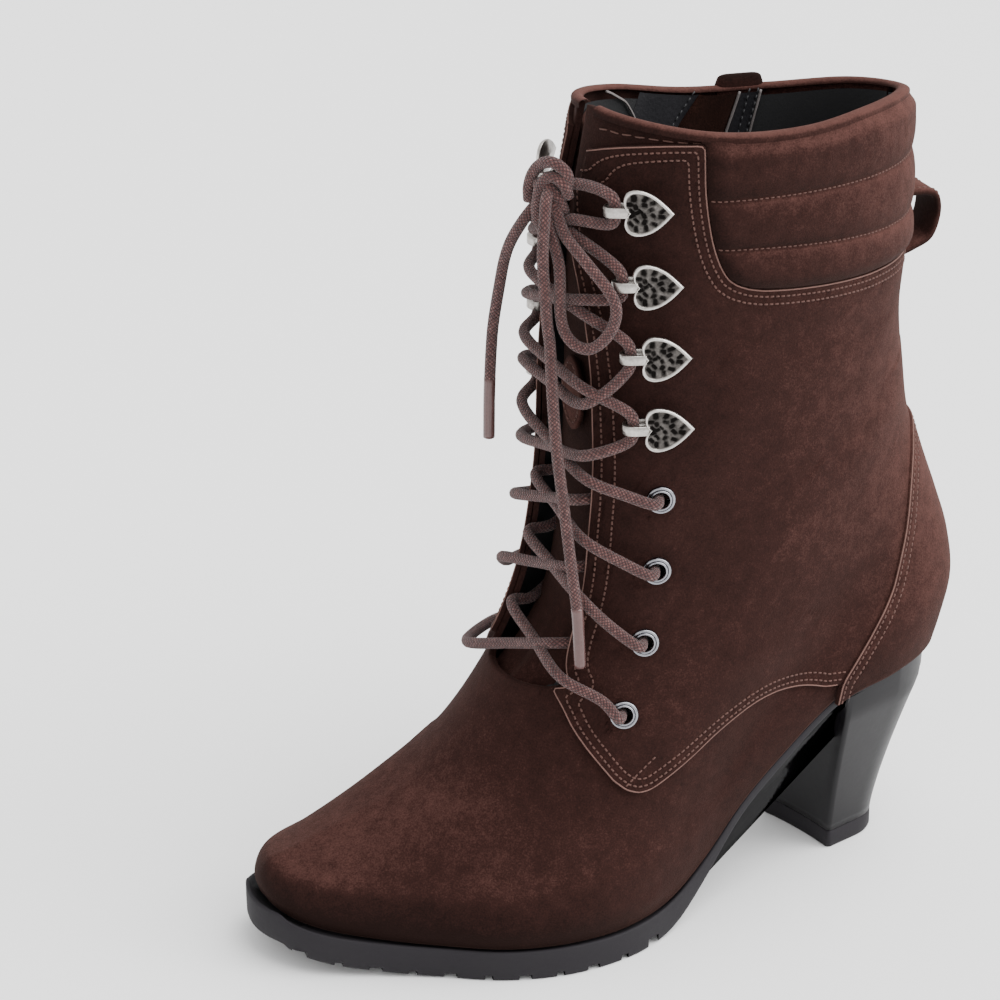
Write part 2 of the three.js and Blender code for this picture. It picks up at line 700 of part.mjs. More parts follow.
function loft(rings) {
  const body = gridGeometry(rings, true);
  const index = Array.from(body.index.array);
  const count = rings[0].length;
  const top = (rings.length - 1) * count;
  for (let k = 1; k + 1 < count; k += 1) {
    index.push(0, k + 1, k);
    index.push(top, top + k, top + k + 1);
  }
  body.setIndex(index);
  return body;
}

const heelLevels = [0, 0.15, 0.3, 0.45, 0.6, 0.8, 1.05];
const heelLoft = loft(
  heelLevels.map((share) => {
    const bottom = liftThickness + fit;
    return heelRing(share, bottom + share * (seatHeight - bottom));
  }),
);
const heel = toSolid(heelLoft)
  .intersect(soleBand((along) => soleUnder(along) - fit, () => -soleHeight, 12))
  .intersect(toSolid(topPrism(plan(() => -0.3), 0, seatHeight)));
const topLift = loft([heelRing(0, 0), heelRing(0, liftThickness)]);

// Eyelet: a rolled flange with its barrel through the facing
function eyeletGeometry() {
  const seat = metalSeat;
  const foot = -wall - fit;
  const profile = [
    [eyeletBore, foot],
    [eyeletTube, foot],
    [eyeletTube, seat],
    [eyeletRadius, seat],
    [eyeletRadius - 0.9, seat + eyeletFlange],
    [eyeletBore, seat + eyeletFlange],
    [eyeletBore, foot],
  ];
  const points = profile.map(([radius, height]) => new THREE.Vector2(radius, height));
  return new THREE.LatheGeometry(points, 9).rotateX(Math.PI / 2);
}

// Speed hook: a strap bent back over the lace, with a heart on its end
const hookLift = laceDiameter + 2 * fit; // clear height under the strap
const hookBend = 9; // from the heart's middle to the bend's end
function hookGeometry() {
  const top = hookMetal * 2 + hookLift;
  const strap = [
    [-4, 0],
    [hookBend + 3 - 1.6, 0],
    [hookBend + 3, 1.6],
    [hookBend + 3, top - 1.6],
    [hookBend + 3 - 1.6, top],
    [0, top],
    [0, top - hookMetal],
    [hookBend + 2 - 1, top - hookMetal],
    [hookBend + 2, top - hookMetal - 1],
    [hookBend + 2, hookMetal + 1],
    [hookBend + 2 - 1, hookMetal],
    [-4, hookMetal],
  ];
  const bar = sidePrism(strap, -hookWidth / 2, hookWidth / 2);
  const s = heartSize / 13;
  const heart = new THREE.Shape();
  heart.moveTo(-8 * s, 0);
  heart.bezierCurveTo(-4.5 * s, 1.8 * s, -1.5 * s, 6.4 * s, 2.4 * s, 6.5 * s);
  heart.bezierCurveTo(5.6 * s, 6.4 * s, 6.4 * s, 2.2 * s, 3.6 * s, 0);
  heart.bezierCurveTo(6.4 * s, -2.2 * s, 5.6 * s, -6.4 * s, 2.4 * s, -6.5 * s);
  heart.bezierCurveTo(-1.5 * s, -6.4 * s, -4.5 * s, -1.8 * s, -8 * s, 0);
  const plate = new THREE.ExtrudeGeometry(heart, {
    depth: hookMetal,
    bevelEnabled: false,
    curveSegments: 3,
  });
  return toGeometry(joined([bar, plate.translate(0, 0, top - hookMetal)]));
}

// Lace crossings: two strands from row to row that meet over the tongue.
// Edge: where a strand passes its own facing's edge. End: where it comes to the other one's.
// Both are shares of the way up from its row to the next. outer, inner: the side it starts on.
const crossings = [
  { outerEdge: 0.5, outerEnd: 1.0, innerEdge: 0.15, innerEnd: 0.88 },
  { outerEdge: 0.7, outerEnd: 0.95, innerEdge: 0.45, innerEnd: 0.95 },
  { outerEdge: 0.48, outerEnd: 0.75, innerEdge: 0.33, innerEnd: 0.9 },
  { outerEdge: 0.33, outerEnd: 0.7, innerEdge: 0.15, innerEnd: 0.6 },
  { outerEdge: 0.55, outerEnd: 0.7, innerEdge: 0.3, innerEnd: 0.36 },
  { outerEdge: 0.6, outerEnd: 0.7, innerEdge: 0.3, innerEnd: 0.72 },
  { outerEdge: 0.6, outerEnd: 0.7, innerEdge: 0.3, innerEnd: 0.72 },
];
const laceRadius = laceDiameter / 2;
const laceLift = faceOffset + laceRadius + fit + 0.8; // axis of a strand on the facing
const otherSide = { outer: 'inner', inner: 'outer' };

// A point of the lace beside a hook's strap: above it, or below it where it arrives
function laceAtHook(side, row, above) {
  const beside = hookWidth / 2 + laceRadius + fit;
  const across = (side === 'outer') === above ? -beside : beside;
  return new THREE.Vector3(hookBend + 0.5, across, hookMetal + laceRadius).applyMatrix4(
    fastenedFrame(rows[side][row], metalSeat),
  );
}

// A point of the lace near a facing's edge. inset: how far it lies back on the facing.
function laceAtEdge(side, z, inset, lift) {
  const rise = (z - seatHeight) / (collarBack - seatHeight);
  const y = (throatHalf(rise) + inset) * (side === 'outer' ? 1 : -1);
  const place = placeInFront(z, y);
  return place.point.clone().addScaledVector(place.normal, lift);
}

function crossing(row) {
  const strands = Object.entries(otherSide).map(([from, to]) => {
    const low = rows[from][row];
    const spacing = rows[to][row + 1].point.z - low.point.z;
    const heightAt = (share) => low.point.z + share * spacing;
    const edgeShare = crossings[row][`${from}Edge`];
    const endHeight = heightAt(crossings[row][`${from}End`]);
    const start = row >= eyeletRows
      ? [laceAtHook(from, row, true)]
      : [
        offsetPoint(low.turn, low.up, laceLift + eyeletFlange + 0.6),
        laceAtEdge(from, heightAt(0.45 * edgeShare), 6, laceLift + eyeletFlange + 0.5),
      ];
    const ownEdge = laceAtEdge(from, heightAt(edgeShare), 0, laceLift + 1.4);
    const toHook = row + 1 >= eyeletRows;
    const end = toHook
      ? [laceAtEdge(to, endHeight, 0, laceLift + 1.4), laceAtHook(to, row + 1, false)]
      : [laceAtEdge(to, endHeight, -laceRadius - 0.8, -0.5)];
    const middle = ownEdge.clone().lerp(end[0], 0.5);
    middle.x += toHook ? 1.2 : 0.6;
    return tube([...start, ownEdge, middle, ...end], laceDiameter, 6);
  });
  return toGeometry(joined(strands));
}

// Free parts of the lace: each route is a list of points chosen by hand.
// All of them come out of the knot, and the loops go back into it.
const knotPlace = new THREE.Vector3(99, 4, 235);
const knotRadius = 6;
const laceRoutes = {
  lace_end_short: [
    [99, 1, 232], [102, -1, 228], [104.5, -3, 223.5], [106.5, -7, 216], [107, -10, 209.5],
    [107.6, -12.3, 200], [108.5, -14.6, 187], [109, -15, 178.5], [109.5, -15.2, 166],
    [109.5, -15.7, 151.5],
  ],
  lace_end_long: [
    [101, 6.5, 236], [104.2, 10, 234.5], [106.3, 12.8, 229.5], [107, 13, 221], [107, 13.2, 214],
    [107, 14.5, 206.5], [106.7, 15, 199], [106, 15.3, 192.5], [106.3, 17.4, 177], [106, 19.6, 160], [104.9, 21.8, 143],
    [103.8, 25.3, 121], [103, 26.5, 110.7], [102.5, 27.2, 94],
  ],
  lace_loop_outer: [
    [99, 6, 234], [100.5, 9.5, 229.5], [100.5, 13.5, 224.5], [99.1, 19.2, 220.5], [96.5, 24.5, 215.5],
    [94, 27.7, 211], [92.5, 29.2, 206.5], [93.1, 29.1, 201.2], [95.4, 27.6, 196.4],
    [98.4, 24.9, 193.2], [101.2, 21.6, 193.7], [103, 18.3, 197.1], [103.4, 16.6, 203],
    [103, 15.8, 209], [102.6, 14.5, 215.5], [102.9, 12.4, 221], [103, 9.8, 225.5],
    [101.5, 7, 230], [99.5, 5, 233],
  ],
  lace_loop_inner: [
    [96.5, 9, 236], [98.5, 11, 241.5], [101, 8.5, 244.1], [102.6, 3.9, 242.5],
    [103.8, 1.2, 239], [104.2, -0.6, 234.5], [103.6, -1.6, 230],
  ],
};
const laceSteps = { lace_end_short: 10, lace_end_long: 15, lace_loop_outer: 19, lace_loop_inner: 8 };
const toVectors = (route) => route.map(([x, y, z]) => new THREE.Vector3(x, y, z));
const ball = (radius) =>
  toSolid(new THREE.IcosahedronGeometry(radius, 1).translate(...knotPlace.toArray()));

// The knot with the two strands that come to it from the top hooks
function knotGeometry() {
  const top = rowCount - 1;
  const strands = Object.keys(otherSide).map((side) => {
    const start = laceAtHook(side, top, true);
    const edge = laceAtEdge(side, start.z + 2, 0, laceLift + 1.4);
    return toSolid(tube([start, edge, knotPlace], laceDiameter, 5));
  });
  return toGeometry(strands.reduce((whole, strand) => whole.add(strand), ball(knotRadius)));
}

function freeLace(name) {
  const route = tube(toVectors(laceRoutes[name]), laceDiameter, laceSteps[name]);
  return toGeometry(toSolid(route).subtract(ball(knotRadius + fit)));
}

// Zip slider and its pull tab, on the inner side under the collar
const zipHeight = 0.93;
const zipPlace = placeOnSide(
  alongX(smooth([...zipLine].reverse(), 'rise', 'along', zipHeight)),
  riseZ(zipHeight),
  -1,
);
const sliderBase = fit + 2.6;
const bailHeight = 4.4; // the bail's axis over the slider's underside
const bailRadius = 0.7;
const tabLength = 30;
const tabWidth = 6.6;
function sliderGeometry() {
  const body = new THREE.BoxGeometry(8, 11, 2).translate(0, 0, 1);
  const cheeks = [-1, 1].map((sign) =>
    new THREE.BoxGeometry(0.9, 2.4, 4.2).translate(sign * 2.9, 0, 3.1));
  const bail = new THREE.CylinderGeometry(bailRadius, bailRadius, 6.2, 10);
  bail.rotateZ(Math.PI / 2).translate(0, 0, bailHeight);
  return toGeometry(joined([body, ...cheeks, bail]));
}

function pullTabGeometry() {
  const bore = bailRadius + fit;
  const ringProfile = [
    [bore, -2.1],
    [bore + 0.9, -2.1],
    [bore + 0.9, 2.1],
    [bore, 2.1],
    [bore, -2.1],
  ].map(([radius, height]) => new THREE.Vector2(radius, height));
  const ring = new THREE.LatheGeometry(ringProfile, 12).rotateZ(Math.PI / 2);
  const plate = topPrism(
    [
      [-2.1, -bore - 0.4],
      [-2.1, -4],
      [-tabWidth / 2, -8],
      [-tabWidth / 2, -tabLength],
      [tabWidth / 2, -tabLength],
      [tabWidth / 2, -8],
      [2.1, -4],
      [2.1, -bore - 0.4],
    ],
    -0.7,
    0.7,
  );
  return toGeometry(joined([ring, plate]));
}

// The folded loop behind the cuff, seen from the side and as wide as its strap
function pullLoopGeometry() {
  const low = riseZ(0.715);
  const high = riseZ(0.84);
  const backAt = (z, off) => formPoint(Math.PI, upAtHeight(Math.PI, z)).x - off;
  const top = backAt(high, cuffSwell + 2);
  const foot = backAt(low, faceOffset + fit);
  const strap = 2.2;
  const out = foot - 13.6;
  const outside = [
    [foot, low],
    [out + 3, low + 5],
    [out, high - 8],
    [out + 1.5, high - 1.5],
    [top, high],
  ];
  const inside = [
    [top, high - strap],
    [out + 3, high - 1.5 - strap],
    [out + strap, high - 8],
    [out + 3 + strap, low + 5 + strap / 2],
    [foot, low + strap + 1.6],
  ];
  return sidePrism([...outside, ...inside], lastShift - 6, lastShift + 6);
}

// The leaf-shaped tab on the tongue
function keeperGeometry() {
  const low = riseZ(0.515);
  const high = riseZ(0.665);
  const middle = (low + high) / 2;
  const x = placeInFront(middle, 0.19 * ballWidth).point.x - facingFlatness + 0.5;
  const leaf = [
    [0, high],
    [5, high - 5],
    [6.4, middle],
    [5, low + 5],
    [0, low],
    [-5, low + 5],
    [-6.4, middle],
    [-5, high - 5],
  ].map(([y, z]) => [y + lastShift, z]);
  return frontPrism(leaf, x, x + 1.4);
}

// Colours
const suede = new THREE.MeshStandardMaterial({ color: 0x4a2c22, roughness: 0.95 });
const rubber = new THREE.MeshStandardMaterial({ color: 0x3a363b, roughness: 0.8 });
const lacquer = new THREE.MeshStandardMaterial({ color: 0x17161a, roughness: 0.35 });
const lining = new THREE.MeshStandardMaterial({ color: 0x1a1a1c, roughness: 0.9 });
const cord = new THREE.MeshStandardMaterial({ color: 0x5d4240, roughness: 0.85 });
const silver = new THREE.MeshStandardMaterial({ color: 0x9a9894, metalness: 1, roughness: 0.4 });
const gunmetal = new THREE.MeshStandardMaterial({ color: 0x55555a, metalness: 1, roughness: 0.3 });

const boot = new THREE.Group();
function addPiece(name, geometry, material, matrix) {
  const mesh = new THREE.Mesh(geometry, material);
  mesh.name = name;
  if (matrix) matrix.decompose(mesh.position, mesh.quaternion, mesh.scale);
  boot.add(mesh);
}

addPiece('upper', toGeometry(upper), suede);
addPiece('quarter_lateral', toGeometry(quarter('outer')), suede);
addPiece('quarter_medial', toGeometry(quarter('inner')), suede);
addPiece('counter', toGeometry(counter), suede);
addPiece('cuff', toGeometry(cuff), suede);
addPiece('pull_loop', pullLoopGeometry(), suede);
addPiece('tongue', tongueGeometry(), suede);
addPiece('tongue_keeper', keeperGeometry(), suede);
addPiece('insole', toGeometry(insole), lining);
addPiece('outsole', toGeometry(outsole), rubber);
addPiece('heel', toGeometry(heel), lacquer);
addPiece('top_lift', topLift, rubber);

for (const side of ['outer', 'inner']) {
  const label = side === 'outer' ? 'lateral' : 'medial';
  rows[side].forEach((place, row) => {
    if (row < eyeletRows) {
      addPiece(`eyelet_${label}_${row + 1}`, eyeletGeometry(), gunmetal, fastenedFrame(place, 0));
    } else {
      const frame = fastenedFrame(place, metalSeat);
      addPiece(`hook_${label}_${row + 1 - eyeletRows}`, hookGeometry(), silver, frame);
    }
  });
}
for (let row = 0; row + 1 < rowCount; row += 1) {
  addPiece(`lace_crossing_${row + 1}`, crossing(row), cord);
}

addPiece('lace_knot', knotGeometry(), cord);
for (const name of Object.keys(laceRoutes)) addPiece(name, freeLace(name), cord);

const zipShell = shell(fit, fit + 0.9);
const teethShell = shell(fit, fit + 2.2);
const zip = zipShell
  .intersect(toSolid(sidePrism(zipOutline(zipWidth / 2), -reach, 0)))
  .add(teethShell.intersect(toSolid(sidePrism(zipOutline(zipTeeth / 2), -reach, 0))));
addPiece('zip', toGeometry(zip), lining);
const sliderFrame = fastenedFrame(zipPlace, sliderBase);
addPiece('zip_slider', sliderGeometry(), gunmetal, sliderFrame);
const bailFrame = fastenedFrame(zipPlace, sliderBase + bailHeight);
addPiece('zip_pull_tab', pullTabGeometry(), gunmetal, bailFrame);

export default boot;
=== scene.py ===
import math

import bmesh
import bpy
import numpy as np
from mathutils import Matrix, Vector


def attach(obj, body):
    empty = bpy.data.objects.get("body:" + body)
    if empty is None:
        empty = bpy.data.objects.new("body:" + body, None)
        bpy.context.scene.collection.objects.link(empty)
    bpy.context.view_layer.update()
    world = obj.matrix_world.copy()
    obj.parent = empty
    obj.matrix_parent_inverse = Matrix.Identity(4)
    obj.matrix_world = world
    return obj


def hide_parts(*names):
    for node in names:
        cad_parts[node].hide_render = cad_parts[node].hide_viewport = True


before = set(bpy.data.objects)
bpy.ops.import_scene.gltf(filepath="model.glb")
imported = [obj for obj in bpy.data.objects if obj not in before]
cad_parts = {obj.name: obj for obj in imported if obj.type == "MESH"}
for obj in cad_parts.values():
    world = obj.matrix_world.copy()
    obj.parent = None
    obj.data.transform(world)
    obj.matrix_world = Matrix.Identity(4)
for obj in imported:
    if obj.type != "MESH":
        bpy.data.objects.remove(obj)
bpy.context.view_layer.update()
rng = np.random.default_rng(7)
MM = 0.001

# Last and shaft, in millimetres as in the part's source
footLength = 216
ballWidth = 80
seatBack = -29.5
lastShift = 2
seatHeight = 67
soleHeight = 10
toeSpring = 8.5
collarBack = 240
collarFront = 254
collarWave = 7
wall = 2
fit = 0.3
quarterThickness = 1.4
cuffSwell = 3
cuffDrop = 9
laceRadius = 1.7
faceOffset = fit + quarterThickness
metalSeat = faceOffset + fit + 0.2
hookBend = 9
hookMetal = 1.1
hookWidth = 3.4
outerBall = 0.485
innerBall = 0.512


def columns(names, text):
    values = [[float(v) for v in line.split()] for line in text.strip().splitlines()]
    return {name: np.array(column) for name, column in zip(names.split(), zip(*values))}


lastOutline = columns("along outer inner rise spring", """
0.0 0.0 0.0 1.0 0
0.04 0.206 -0.2 0.991 0
0.12 0.306 -0.281 0.965 0
0.21 0.331 -0.288 0.886 0
0.29 0.331 -0.262 0.649 0
0.36 0.338 -0.256 0.412 0
0.42 0.356 -0.275 0.167 0
0.48 0.406 -0.325 0.035 0
0.56 0.475 -0.412 0 0
0.65 0.485 -0.481 0 0
0.74 0.412 -0.512 0 0
0.82 0.272 -0.506 0 0.035
0.9 0.135 -0.475 0 0.235
0.96 0.025 -0.412 0 0.53
1.0 -0.2 -0.2 0 1
""")
lastOutline["angle"] = np.arccos(1 - 2 * lastOutline["along"])
sections = columns("up front frontRise swing back backRise outer inner skew level lasted", """
0.0 1.0 0.0 -0.2 0.0 0.0 0.485 0.512 0.25 0.0 1.0
0.06 1.006 0.023 -0.2 -0.012 0.052 0.504 0.525 0.25 0.0 1.0
0.12 0.995 0.049 -0.2 -0.025 0.11 0.504 0.506 0.25 0.05 0.9
0.2 0.951 0.064 -0.187 -0.02 0.185 0.481 0.462 0.22 0.2 0.7
0.29 0.863 0.094 -0.162 0 0.266 0.462 0.438 0.18 0.5 0.4
0.38 0.766 0.14 -0.112 0.027 0.358 0.45 0.425 0.12 0.8 0.15
0.47 0.688 0.231 -0.062 0.051 0.451 0.431 0.419 0.06 1.0 0.0
0.56 0.637 0.342 -0.025 0.066 0.555 0.419 0.406 0.0 1.0 0.0
0.67 0.613 0.482 0 0.074 0.665 0.412 0.4 0.0 1.0 0.0
0.78 0.6 0.643 0 0.068 0.769 0.419 0.406 0.0 1.0 0.0
0.89 0.576 0.826 0 0.07 0.879 0.425 0.419 0.0 1.0 0.0
1.0 0.535 1.0 0 0.07 1.0 0.431 0.431 0.15 1.0 0.0
""")
collarLift = columns("round outer inner", """
0 0.3 0.3
0.167 0.36 -0.15
0.333 0.36 -0.6
0.5 0.6 -1
0.667 1 -0.6
0.833 1 0.1
1 0.57 0.57
""")
throat = columns("rise half", """
0.1 0.238
0.13 0.206
0.17 0.195
0.24 0.2
0.33 0.207
0.47 0.21
0.57 0.202
0.68 0.181
0.79 0.154
0.91 0.094
1.0 0.044
1.3 0.025
""")
throatBase = 0.088
quarterOutline = columns("along rise innerShift", """
0.557 -0.098 0
0.613 0.016 0
0.624 0.078 0
0.64 0.13 0
0.76 0.16 0
0.76 0.985 0
0.56 0.99 0
0.55 1.025 0
0.53 1.05 0
0.49 1.064 0
0.452 1.066 0.262
0.442 1.066 0.262
0.4418 1.054 0.262
0.441 0.966 0.262
0.427 0.862 0.262
0.4 0.808 0.262
0.3 0.79 0.2
0.12 0.765 0.07
-0.2 0.745 0
-0.2 -0.02 0
0.21 -0.005 0
0.27 0.021 0
0.342 0.028 0
0.412 0 0
0.479 -0.052 0
""")
counterOutline = columns("along rise", """
-0.2 0.455
0.05 0.445
0.077 0.349
0.091 0.256
0.107 0.198
0.126 0.139
0.162 0.083
0.195 0.028
0.214 -0.003
0.21 -0.2
-0.2 -0.2
""")
rowLine = columns("rise along", """
0.0 0.57
0.058 0.553
0.18 0.52
0.31 0.501
0.445 0.496
0.7 0.494
0.826 0.5
0.95 0.504
1.1 0.51
""")
zipLine = columns("rise along", """
0.06 0.31
0.25 0.275
0.5 0.25
0.8 0.24
1.12 0.235
""")


def smooth(table, key, column, at):
    xs, ys = table[key], table[column]
    gaps = np.diff(xs)
    rates = np.diff(ys) / gaps
    inner = (rates[:-1] * gaps[1:] + rates[1:] * gaps[:-1]) / (gaps[:-1] + gaps[1:])
    slopes = np.concatenate([rates[:1], inner, rates[-1:]])
    at = np.asarray(at, float)
    i = np.clip(np.searchsorted(xs, at, side="left") - 1, 0, len(xs) - 2)
    span = gaps[i]
    u = np.clip((at - xs[i]) / span, 0, 1)
    u2, u3 = u * u, u * u * u
    return (
        (2 * u3 - 3 * u2 + 1) * ys[i]
        + (u3 - 2 * u2 + u) * span * slopes[i]
        + (3 * u2 - 2 * u3) * ys[i + 1]
        + (u3 - u2) * span * slopes[i + 1]
    )


def smoothstep(x, low, high):
    u = np.clip((np.asarray(x, float) - low) / (high - low), 0, 1)
    return u * u * (3 - 2 * u)


def alongX(share):
    return seatBack + np.asarray(share) * footLength


def riseZ(share):
    return seatHeight + np.asarray(share) * (collarBack - seatHeight)


def outlineAt(along, column):
    return smooth(lastOutline, "angle", column, np.arccos(1 - 2 * np.clip(along, 0, 1)))


def soleTop(along):
    lift = outlineAt(along, "rise") * (seatHeight - soleHeight)
    return soleHeight + lift + outlineAt(along, "spring") * toeSpring


# A point of the upper's outer face. turn: 0 at the toe, positive round the outer side
def formPoint(turn, up):
    turn, up = np.broadcast_arrays(np.asarray(turn, float), np.asarray(up, float))
    row = {name: smooth(sections, "up", name, up) for name in sections if name != "up"}
    wrapped = np.arctan2(np.sin(turn), np.cos(turn))
    angle = np.abs(wrapped)
    outward = wrapped >= 0
    share = (1 + np.cos(angle)) / 2
    front, back = alongX(row["front"]), alongX(row["back"])
    toeHeight = soleHeight + toeSpring
    frontZ = toeHeight + row["frontRise"] * (collarFront - toeHeight)
    backZ = riseZ(row["backRise"])
    tip = row["swing"] * share * share
    half = np.where(outward, row["outer"], row["inner"])
    widest = np.where(outward, outerBall, innerBall)
    toeShift = lastOutline["outer"][-1] * share * share
    edge = np.where(outward, outlineAt(share, "outer"), outlineAt(share, "inner"))
    lasted = (edge - toeShift) * half / widest + tip
    bow = np.sin(angle + row["skew"] * np.sin(angle))
    oval = np.where(outward, 1, -1) * half * bow + tip
    y = (row["lasted"] * lasted + (1 - row["lasted"]) * oval) * ballWidth + lastShift
    plane = backZ + (frontZ - backZ) * share
    lift = (backZ - seatHeight) * (1 - share) + (frontZ - toeHeight) * share
    wave = np.where(
        outward,
        smooth(collarLift, "round", "outer", angle / np.pi),
        smooth(collarLift, "round", "inner", angle / np.pi),
    )
    z = row["level"] * plane + (1 - row["level"]) * (soleTop(share) + lift)
    z = z + wave * collarWave * smoothstep(up, 0.72, 1)
    return np.stack([back + (front - back) * share, y, z], -1)


def formNormal(turn, up):
    step = 1e-3
    turn, up = np.broadcast_arrays(np.asarray(turn, float), np.asarray(up, float))
    across = formPoint(turn + step, up) - formPoint(turn - step, up)
    upward = formPoint(turn, np.minimum(up + step, 1)) - formPoint(turn, np.maximum(up - step, 0))
    normal = np.cross(across, upward)
    return normal / np.linalg.norm(normal, axis=-1, keepdims=True)


def offsetPoint(turn, up, offset):
    offset = np.asarray(offset, float)
    return formPoint(turn, up) + formNormal(turn, up) * offset[..., None]


def upAtHeight(turn, z):
    turn, z = np.broadcast_arrays(np.asarray(turn, float), np.asarray(z, float))
    low, high = np.zeros(turn.shape), np.ones(turn.shape)
    for _ in range(22):
        middle = (low + high) / 2
        under = formPoint(turn, middle)[..., 2] < z
        low, high = np.where(under, middle, low), np.where(under, high, middle)
    return (low + high) / 2


# The place on the upper that is seen at x and z from one side
def placeOnSide(x, z, side):
    x, z, side = np.broadcast_arrays(*(np.asarray(v, float) for v in (x, z, side)))
    low, high = np.zeros(x.shape), np.full(x.shape, np.pi)
    for _ in range(20):
        middle = (low + high) / 2
        turn = middle * side
        ahead = formPoint(turn, upAtHeight(turn, z))[..., 0] > x
        low, high = np.where(ahead, middle, low), np.where(ahead, high, middle)
    turn = (low + high) / 2 * side
    return turn, upAtHeight(turn, z)


# The place on the upper's front at a height and a distance from the middle line
def placeInFront(z, y):
    z, y = np.broadcast_arrays(np.asarray(z, float), np.asarray(y, float))
    side = np.where(y < 0, -1, 1)
    low, high = np.zeros(y.shape), np.full(y.shape, np.pi / 2)
    for _ in range(20):
        middle = (low + high) / 2
        turn = middle * side
        reached = (formPoint(turn, upAtHeight(turn, z))[..., 1] - lastShift) * side < np.abs(y)
        low, high = np.where(reached, middle, low), np.where(reached, high, middle)
    turn = (low + high) / 2 * side
    return turn, upAtHeight(turn, z)


def throatHalf(rise):
    return smooth(throat, "rise", "half", np.maximum(rise, 0.1)) * ballWidth


def centripetal(points, step):
    points = np.asarray(points, float)
    padded = np.vstack([2 * points[0] - points[1], points, 2 * points[-1] - points[-2]])
    out = []
    for k in range(len(points) - 1):
        p0, p1, p2, p3 = padded[k:k + 4]
        t1 = np.linalg.norm(p1 - p0) ** 0.5
        t2 = t1 + np.linalg.norm(p2 - p1) ** 0.5
        t3 = t2 + np.linalg.norm(p3 - p2) ** 0.5
        t = np.linspace(t1, t2, 24, endpoint=k + 2 == len(points))[:, None]
        a1 = (t1 - t) / t1 * p0 + t / t1 * p1
        a2 = (t2 - t) / (t2 - t1) * p1 + (t - t1) / (t2 - t1) * p2
        a3 = (t3 - t) / (t3 - t2) * p2 + (t - t2) / (t3 - t2) * p3
        b1 = (t2 - t) / t2 * a1 + t / t2 * a2
        b2 = (t3 - t) / (t3 - t1) * a2 + (t - t1) / (t3 - t1) * a3
        out.append((t2 - t) / (t2 - t1) * b1 + (t - t1) / (t2 - t1) * b2)
    return resample(np.vstack(out), step)


def resample(line, step):
    length = np.concatenate([[0], np.cumsum(np.linalg.norm(np.diff(line, axis=0), axis=1))])
    count = max(2, int(round(length[-1] / step)) + 1)
    at = np.linspace(0, length[-1], count)
    return np.stack([np.interp(at, length, line[:, k]) for k in range(line.shape[1])], -1)


# Camera: the photograph's view of the boot from its outer front
def makeCamera():
    azimuth, elevation, roll = math.radians(62.46), math.radians(26.34), math.radians(-0.36)
    towards = np.array([
        math.cos(elevation) * math.cos(azimuth),
        math.cos(elevation) * math.sin(azimuth),
        math.sin(elevation),
    ])
    right = np.array([-math.sin(azimuth), math.cos(azimuth), 0])
    upward = np.cross(towards, right)
    c, s = math.cos(roll), math.sin(roll)
    right, upward = c * right + s * upward, c * upward - s * right
    place = (np.array([103.97, -19.6, 127.87]) + 1274.9 * towards) * MM
    matrix = Matrix.Identity(4)
    for i in range(3):
        matrix[i][0], matrix[i][1], matrix[i][2] = right[i], upward[i], towards[i]
        matrix[i][3] = place[i]
    data = bpy.data.cameras.new("camera")
    data.sensor_width = 36
    data.lens = 155.52
    data.clip_end = 20
    camera = bpy.data.objects.new("camera", data)
    camera.matrix_world = matrix
    bpy.context.scene.collection.objects.link(camera)
    bpy.context.scene.camera = camera


makeCamera()


# Materials
class Shader:
    def __init__(self, name, roughness, metallic=0.0):
        self.material = bpy.data.materials.new(name)
        self.material.use_nodes = True
        self.tree = self.material.node_tree
        self.surface = self.tree.nodes["Principled BSDF"]
        self.surface.inputs["Roughness"].default_value = roughness
        self.surface.inputs["Metallic"].default_value = metallic

    def add(self, kind, inputs=None, **settings):
        made = self.tree.nodes.new(kind)
        for key, value in settings.items():
            setattr(made, key, value)
        for key, value in (inputs or {}).items():
            if isinstance(value, bpy.types.NodeSocket):
                self.tree.links.new(value, made.inputs[key])
            else:
                made.inputs[key].default_value = value
        return made

    def put(self, key, value):
        if isinstance(value, bpy.types.NodeSocket):
            self.tree.links.new(value, self.surface.inputs[key])
        else:
            self.surface.inputs[key].default_value = value

    def place(self, uv=False):
        return self.add("ShaderNodeTexCoord").outputs["UV" if uv else "Object"]

    def noise(self, vector, scale, detail=2.0, rough=0.5, distortion=0.0):
        made = self.add("ShaderNodeTexNoise", {
            "Vector": vector, "Scale": scale, "Detail": detail,
            "Roughness": rough, "Distortion": distortion,
        })
        return made.outputs["Fac"]

    def math(self, operation, first, second=0.0, third=0.0):
        made = self.add("ShaderNodeMath", operation=operation)
        for socket, value in zip(made.inputs, (first, second, third)):
            if isinstance(value, bpy.types.NodeSocket):
                self.tree.links.new(value, socket)
            else:
                socket.default_value = value
        return made.outputs[0]

    def between(self, value, low, high, outLow=0.0, outHigh=1.0):
        made = self.add("ShaderNodeMapRange", {
            "Value": value, "From Min": low, "From Max": high, "To Min": outLow, "To Max": outHigh,
        })
        return made.outputs[0]

    def ramp(self, value, stops):
        made = self.add("ShaderNodeValToRGB", {"Fac": value})
        elements = made.color_ramp.elements
        while len(elements) < len(stops):
            elements.new(0.5)
        for element, (at, colour) in zip(elements, stops):
            element.position = at
            element.color = (*colour, 1)
        return made.outputs["Color"]

    def mix(self, factor, first, second, blend="MIX"):
        made = self.add("ShaderNodeMix", data_type="RGBA", blend_type=blend)
        for index, value in ((0, factor), (6, first), (7, second)):
            socket = made.inputs[index]
            if isinstance(value, bpy.types.NodeSocket):
                self.tree.links.new(value, socket)
            else:
                socket.default_value = (*value, 1) if index else value
        return made.outputs[2]

    def bump(self, height, strength, distance, below=None):
        inputs = {"Height": height, "Strength": strength, "Distance": distance}
        if below:
            inputs["Normal"] = below
        return self.add("ShaderNodeBump", inputs).outputs["Normal"]


